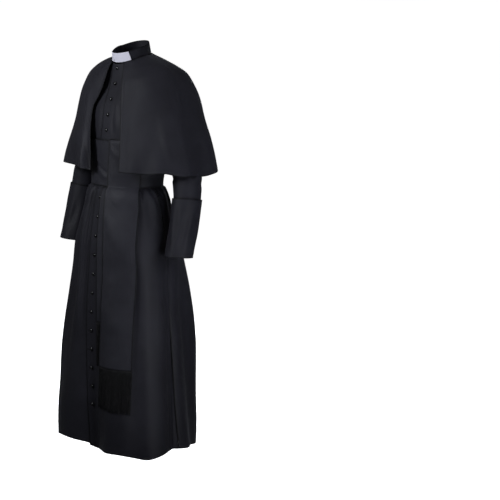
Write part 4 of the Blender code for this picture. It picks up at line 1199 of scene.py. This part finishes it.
def make_cape():
    turns = spread_turns(*cape_edges(CAPE_ROWS), CAPE_COLUMNS)
    levels = CAPE_ROWS[:, None]
    points = CAPE.out(turns, levels, CAPE_CLOTH + cape_relief(turns, levels))
    points[..., 2] -= through(CAPE_DROP, turns)[..., 0] * smooth_step(levels, -0.20, CAPE_ROWS[-1])
    piece = cloth("cape_cloth", points, "twill", ["cape"])
    lines = [inset_line(points, CAPE_SEAM, edge) for edge in ("first", "last", "bottom")]
    sew("cape_stitches", lines, "twill")


def lap_room(x):
    """How far the sash is held out over the lapped fronts."""
    near = 1.0 - smooth_step(np.abs(x), UNDERLAP_EDGE + LAP_EASE / 2, UNDERLAP_EDGE + LAP_EASE * 1.5)
    return (CLOTH + SEAM_GAP) * near


SASH_METRES_PER_DEGREE = 0.0021
SASH_STEP = 0.0036
SASH_COLUMNS = 220


def make_sash():
    levels = heights_from((SASH_TOP, SASH_BOTTOM, SASH_STEP))[:, None]
    turns = np.linspace(0.0, 360.0, SASH_COLUMNS, endpoint=False)[None, :]
    room = np.where(np.cos(np.radians(turns)) > 0, lap_room(BODY.point(turns, levels)[..., 0]), 0.0)
    relief = creased(SASH_CREASES, turns, levels, SASH_METRES_PER_DEGREE)
    relief = relief + uneven(turns, levels, 0.0004, 61)
    for away in (SASH_TOP - levels, levels - SASH_BOTTOM):
        relief = relief + groove(away, SASH_SEAM, 0.0014)
    points = BODY.out(turns, levels, SASH_OUT + SASH_CLOTH + room + relief)
    piece = cloth("sash_band_cloth", points, "sash_cloth", ["sash_band"], True, DOUBLE_SHELL)
    lines = [inset_line(ring_closed(points), SASH_SEAM, edge) for edge in ("top", "bottom")]
    sew("sash_band_stitches", lines, "sash_cloth")


EDGE_CURL = 0.0009
TAIL_STEP = 0.0042
# How far the front tail's first rows lie further in, over the sash band's edge
TAIL_TOP = np.array((0.0044, 0.0018, 0.0004))
# The tails: their ends, outlines, lower ends, how far out they hang, walls, seeds and flat sizes
TAILS = (
    ("front", FRONT_TAIL, FRONT_TAIL_END, FRONT_TAIL_OUT, 0.0013, 71, (0.13, 0.76)),
    ("back", BACK_TAIL, BACK_TAIL_END, BACK_TAIL_OUT, 0.0010, 72, (0.13, 0.45)),
)


def tail_turns(tail, heights, columns):
    edges = through(tail, heights)
    start = UNGATHERED.turn_at_x(edges[:, 0], heights)
    end = UNGATHERED.turn_at_x(edges[:, 1], heights, 30.0)
    return spread_turns(start, end, columns)


def tail_points(tail, rows, out, seed):
    """A tail's outer points: it hangs over the skirt's creases and has its own."""
    turns = tail_turns(tail, rows, TAIL_COLUMNS)
    levels = rows[:, None]
    relief = np.maximum(body_relief(turns, levels), 0.0) * 0.6
    relief = relief + creased(TAIL_CREASES, turns, levels, SKIRT_METRES_PER_DEGREE)
    relief = np.maximum(relief + uneven(turns, levels, 0.0005, seed), -0.0005) + 0.0006
    share = np.linspace(0.0, 1.0, TAIL_COLUMNS)[None, :]
    from_edge = np.minimum(share, 1.0 - share) * 0.10
    relief = relief + groove(from_edge, TAIL_SEAM, 0.0014) + EDGE_CURL * bell(from_edge, 0.005)
    return UNGATHERED.out(turns, levels, out + gather_depth(levels) + SASH_CLOTH + relief), turns


def make_tail(end, tail, bottom, out, thickness, seed, flat):
    rows = heights_from((tail[0][0], bottom, TAIL_STEP))
    points, turns = tail_points(tail, rows, out, seed)
    if end == "front":
        count = len(TAIL_TOP)
        over_edge = UNGATHERED.normal(turns[:count], rows[:count, None])
        points[:count] -= over_edge * TAIL_TOP[:, None, None]
    node = f"sash_tail_{end}"
    piece = cloth(f"{node}_cloth", points, "sash_cloth", [node], thickness=thickness)
    lines = [inset_line(points, TAIL_SEAM, edge) for edge in ("first", "last")]
    sew(f"{node}_stitches", lines, "sash_cloth")


STRAND_SIDES = 6
STRAND_RINGS = 20
STRAND_RADIUS = 0.00075
FRINGE_SLANT = 0.06
# The shares of the fringe's length that its strands are cut to, and how much their clumps shorten them
STRAND_CUT = (0.93, 1.0)
CLUMP_CUT = 0.014
# How strands sway and bend, as shares of their spacing, and how clumps draw their ends together
STRAND_SWAY = 0.35
STRAND_BEND = 0.30
CLUMP_PULL = 0.011
# How far out the two layers of strands lie, and how much of their radius is lost at the ends
STRAND_LAYERS = (0.00095, 0.00225)
STRAND_TAPER = 0.35
# The fringes: their ends, tails, the tails' lower ends, how far out they hang, strands, how far those
# stray outwards, and seeds
FRINGES = (
    ("front", FRONT_TAIL, FRONT_TAIL_END, FRONT_TAIL_OUT, 104, 0.0007, 81),
    ("back", BACK_TAIL, BACK_TAIL_END, BACK_TAIL_OUT, 100, 0.0001, 82),
)


def strand_lines(tail, top, out, strands, loose, seed):
    """The rings of a fringe's twisted strands: their centres, ways across and radii."""
    rng = np.random.default_rng(seed)
    share = (np.arange(strands) + 0.5) / strands
    drop = np.linspace(0.0, 1.0, STRAND_RINGS)[:, None]
    clump = np.sin(share * 23.0 + seed) + np.sin(share * 51.0 + 1.3 * seed)
    cut = rng.uniform(*STRAND_CUT, strands) - CLUMP_CUT * (1.0 + clump / 2.0)
    cut = cut + FRINGE_SLANT * (share - 0.5)
    levels = top - 0.0008 - FRINGE_LENGTH * drop * cut
    first, last = tail_turns(tail, levels.mean(axis=1), 2).T[..., None]
    sway = rng.normal(0.0, STRAND_SWAY, strands) / strands * drop ** 1.3
    bend = rng.normal(0.0, STRAND_BEND, strands) / strands * np.sin(drop * pi)
    turns = first + (last - first) * (share + sway + bend + CLUMP_PULL * clump * drop ** 2)
    layer = np.where(np.arange(strands) % 2 == 0, *STRAND_LAYERS)
    lift = np.abs(rng.normal(0.0, loose, strands)) * drop
    normals = UNGATHERED.normal(turns, levels)
    centres = UNGATHERED.point(turns, levels) + normals * (out - 0.0004 + layer + lift)[..., None]
    sideways = unit(np.cross(normals, (0.0, 0.0, 1.0)))
    radii = STRAND_RADIUS * rng.uniform(0.85, 1.15, strands) * (1.0 - STRAND_TAPER * drop ** 6)
    return [lines.swapaxes(0, 1) for lines in (centres, sideways, normals, radii)]


def make_fringe(end, tail, bottom, out, strands, loose, seed):
    """Twisted strands that hang from a narrow braid at a tail's end."""
    top = bottom - SEAM_GAP
    vertices, faces = tubes(*strand_lines(tail, top, out, strands, loose, seed), STRAND_SIDES)
    count = STRAND_RINGS * STRAND_SIDES
    caps = (range(STRAND_SIDES - 1, -1, -1), range(count - STRAND_SIDES, count))
    for base in range(0, len(vertices), count):
        faces += [[base + corner for corner in cap] for cap in caps]
    around = np.arange(STRAND_SIDES + 1) / STRAND_SIDES * 2.0 * pi * STRAND_RADIUS
    down = np.linspace(0.0, FRINGE_LENGTH, STRAND_RINGS)
    i, j = np.indices((STRAND_RINGS - 1, STRAND_SIDES)).reshape(2, -1)
    corners = ((i, j), (i, j + 1), (i + 1, j + 1), (i + 1, j))
    places = [np.stack((around[b], down[a]), axis=-1) for a, b in corners]
    places = np.tile(np.stack(places, axis=1).reshape(-1, 2), (strands, 1))
    places = np.concatenate((places, np.zeros((2 * STRAND_SIDES * strands, 2))))
    yarns = add_mesh(f"fringe_{end}_yarns", vertices, faces, MATERIALS["fringe_black"], cut=places)
    finish_piece(yarns, "fringe_black", f"fringe_{end}")

    rows = np.linspace(top, top - FRINGE_STRIP, BRAID_ROWS)
    turns = tail_turns(tail, rows, BRAID_COLUMNS)
    waves = np.cos(np.linspace(0.0, strands * 2.0 * pi, BRAID_COLUMNS))
    crest = BRAID_RELIEF * waves * np.sin(np.linspace(0.2, pi, BRAID_ROWS))[:, None]
    points = UNGATHERED.out(turns, rows[:, None], out + SASH_CLOTH + 0.0003 + crest)
    cloth(f"fringe_{end}_yarns_braid", points, "fringe_black", thickness=BRAID_SHELL)


def lap_line():
    """The left front's outer points on the centre line, section by section, on its flat lap."""
    levels = np.array([row[0] for row in BODY_SECTIONS])
    edges = []
    for x in (LAP_EDGE, UNDERLAP_EDGE):
        turns = BODY.turn_at_x(x, levels)
        edges.append(BODY.out(turns, levels, CLOTH + SEAM_GAP + np.zeros(len(levels))))
    right, left = edges
    share = -right[:, :1] / (left[:, :1] - right[:, :1])
    return right + (left - right) * share


# A button's outline from its back to the middle of its dome: shares of its radius and height
BUTTON_OUTLINE = (
    (0.00, 0.02), (0.45, 0.02), (0.50, 0.00), (0.86, 0.10), (0.97, 0.20), (1.00, 0.31), (0.985, 0.42),
    (0.93, 0.50), (0.90, 0.51), (0.88, 0.55), (0.82, 0.66), (0.71, 0.79), (0.56, 0.89), (0.38, 0.96),
    (0.20, 0.99), (0.00, 1.00),
)
BUTTON_SEGMENTS = 32


def button_mesh():
    mesh = bpy.data.meshes.new("button_dome")
    lathe = bmesh.new()
    line = [lathe.verts.new((r * BUTTON_RADIUS, 0.0, (h - 0.5) * BUTTON_HEIGHT)) for r, h in BUTTON_OUTLINE]
    edges = [lathe.edges.new(pair) for pair in zip(line, line[1:])]
    bmesh.ops.spin(
        lathe, geom=line + edges, cent=(0, 0, 0), axis=(0, 0, 1), angle=2 * pi, steps=BUTTON_SEGMENTS,
        use_merge=True, use_duplicate=False,
    )
    bmesh.ops.remove_doubles(lathe, verts=lathe.verts, dist=1e-6)
    bmesh.ops.recalc_face_normals(lathe, faces=lathe.faces)
    lathe.to_mesh(mesh)
    lathe.free()
    mesh.materials.append(MATERIALS["button_black"])
    mesh.shade_smooth()
    return mesh


def make_buttons():
    heights = [CHEST_BUTTON_TOP + CHEST_BUTTON_STEP * i for i in range(CHEST_BUTTONS)]
    heights += [SKIRT_BUTTON_TOP + SKIRT_BUTTON_STEP * i for i in range(SKIRT_BUTTONS)]
    line = lap_line()
    mesh = button_mesh()
    for number, height in enumerate(heights, 1):
        node = f"button_{number:02d}"
        below = int(np.argmax(line[:, 2] < height))
        normal = np.cross(unit(line[below] - line[below - 1]), (1.0, 0.0, 0.0))
        low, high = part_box(node)
        obj = add_object(f"{node}_dome", mesh.copy())
        obj.location = (low + high) / 2.0
        obj.rotation_euler = (radians(90) - np.arcsin(normal[2]), 0.0, 0.0)
        finish_piece(obj, "button_black", node)


def make_camera():
    a, dip = radians(CAMERA_TURN), radians(CAMERA_DIP)
    aside = atan((PICTURE_WIDTH / 2.0 - AXIS_COLUMN) / FOCAL_PIXELS)
    towards = Vector((-sin(a), cos(a), 0.0))
    right = Vector((cos(a), sin(a), 0.0))
    forward = towards * cos(dip) - Vector((0.0, 0.0, sin(dip)))
    up = towards * sin(dip) + Vector((0.0, 0.0, cos(dip)))
    look_way = forward * cos(aside) + right * sin(aside)
    right_way = right * cos(aside) - forward * sin(aside)
    place = Vector((CAMERA_DISTANCE * sin(a), -CAMERA_DISTANCE * cos(a), CAMERA_HEIGHT))
    data = bpy.data.cameras.new("camera")
    data.sensor_width = SENSOR_WIDTH
    data.lens = SENSOR_WIDTH * FOCAL_PIXELS / PICTURE_WIDTH
    camera = add_object("camera", data)
    columns = [way.to_4d() for way in (right_way, up, -look_way, place)]
    for column in columns[:3]:
        column.w = 0.0
    camera.matrix_world = Matrix(columns).transposed()
    bpy.context.scene.camera = camera


# Soft lights. The columns: turn, distance, height, width, power, the height they face and how wide
# their beam is in degrees
LIGHTS = (
    (-10.0, 1.8, 0.50, 0.7, 5.4, -0.20, 74.0),
    (68.0, 1.9, -0.78, 0.6, 1.9, -0.86, 56.0),
    (92.0, 2.0, 0.32, 0.7, 1.4, -0.34, 42.0),
    (-70.0, 3.2, 0.40, 1.4, 2.0, -0.60, 180.0),
    (208.0, 2.2, 0.10, 1.2, 92.0, -0.45, 180.0),
    (245.0, 3.0, 0.30, 1.2, 24.0, -0.40, 180.0),
)
LIGHT_TINT = (0.91, 0.94, 1.0)
OVERHEAD_POWER = 0.27
OVERHEAD_PLACE = (0.3, -0.5, 2.0)
OVERHEAD_SPREAD = 60.0
SKY_LIGHT = 0.11
PAPER_LIGHT = 0.86
PAPER_BOUNCE = 0.12


def seen_by_camera(nodes):
    return nodes.new("ShaderNodeLightPath").outputs["Is Camera Ray"]


def make_paper():
    """A pale floor that the camera sees as white paper and that throws little light back up."""
    bpy.ops.mesh.primitive_plane_add(size=FLOOR_SIZE, location=(0.0, 0.0, FLOOR_HEIGHT))
    floor = bpy.context.object
    floor.name = "floor"
    shader = Shader("floor_paper", Roughness=0.95, Specular_IOR_Level=0.0)
    shader.surface("Emission Color", (1.0, 1.0, 1.0, 1.0))
    tone = shader.ramp(shader.noise(shader.space(), 3.0), (0.88, 0.88, 0.88), (0.91, 0.91, 0.91))
    seen = seen_by_camera(shader.tree.nodes)
    bounce = (PAPER_BOUNCE, PAPER_BOUNCE, PAPER_BOUNCE, 1.0)
    paper = shader.node("Mix", {0: seen}, data_type="RGBA")
    shader.feed(paper.inputs[6], bounce)
    shader.feed(paper.inputs[7], tone)
    shader.surface("Base Color", paper.outputs[2])
    shader.surface("Emission Strength", shader.math("MULTIPLY", seen, PAPER_LIGHT))
    floor.data.materials.append(shader.material)


def make_world():
    """White behind the garment for the camera, and a dim even sky for the cloth."""
    world = bpy.data.worlds.new("studio")
    world.use_nodes = True
    tree = world.node_tree
    mix = tree.nodes.new("ShaderNodeMapRange")
    mix.inputs["To Min"].default_value = SKY_LIGHT
    mix.inputs["To Max"].default_value = 1.0
    tree.links.new(seen_by_camera(tree.nodes), mix.inputs["Value"])
    tree.links.new(mix.outputs["Result"], tree.nodes["Background"].inputs["Strength"])
    tree.nodes["Background"].inputs["Color"].default_value = (1.0, 1.0, 1.0, 1.0)
    bpy.context.scene.world = world


def add_light(name, kind, power, place, target, **settings):
    """A light at a place that faces a target."""
    data = bpy.data.lights.new(name, kind)
    data.energy = power
    for setting, value in settings.items():
        setattr(data, setting, value)
    light = add_object(name, data)
    light.location = place
    light.rotation_euler = (Vector(target) - Vector(place)).to_track_quat("-Z", "Y").to_euler()
    return light


def make_studio():
    make_paper()
    for number, (turn, distance, height, width, power, aim, beam) in enumerate(LIGHTS, 1):
        a = radians(turn)
        place = (distance * sin(a), -distance * cos(a), height)
        light = add_light(
            f"light_{number}", "AREA", power, place, (0.0, 0.0, aim),
            shape="DISK", size=width, color=LIGHT_TINT, spread=radians(beam),
        )
        light.visible_glossy = cos(a) > 0.0
    spread = radians(OVERHEAD_SPREAD)
    add_light("overhead", "SUN", OVERHEAD_POWER, OVERHEAD_PLACE, (0.0, 0.0, 0.0), angle=spread)
    make_world()
    bpy.context.scene.view_settings.view_transform = "Standard"


def main():
    make_camera()
    make_body()
    for side, name in ((1, "left"), (-1, "right")):
        make_cuff(side, name, make_sleeve(side, name))
    make_collar()
    make_cape()
    make_sash()
    for tail in TAILS:
        make_tail(*tail)
    for fringe in FRINGES:
        make_fringe(*fringe)
    make_buttons()
    make_studio()
    bpy.context.view_layer.update()


main()
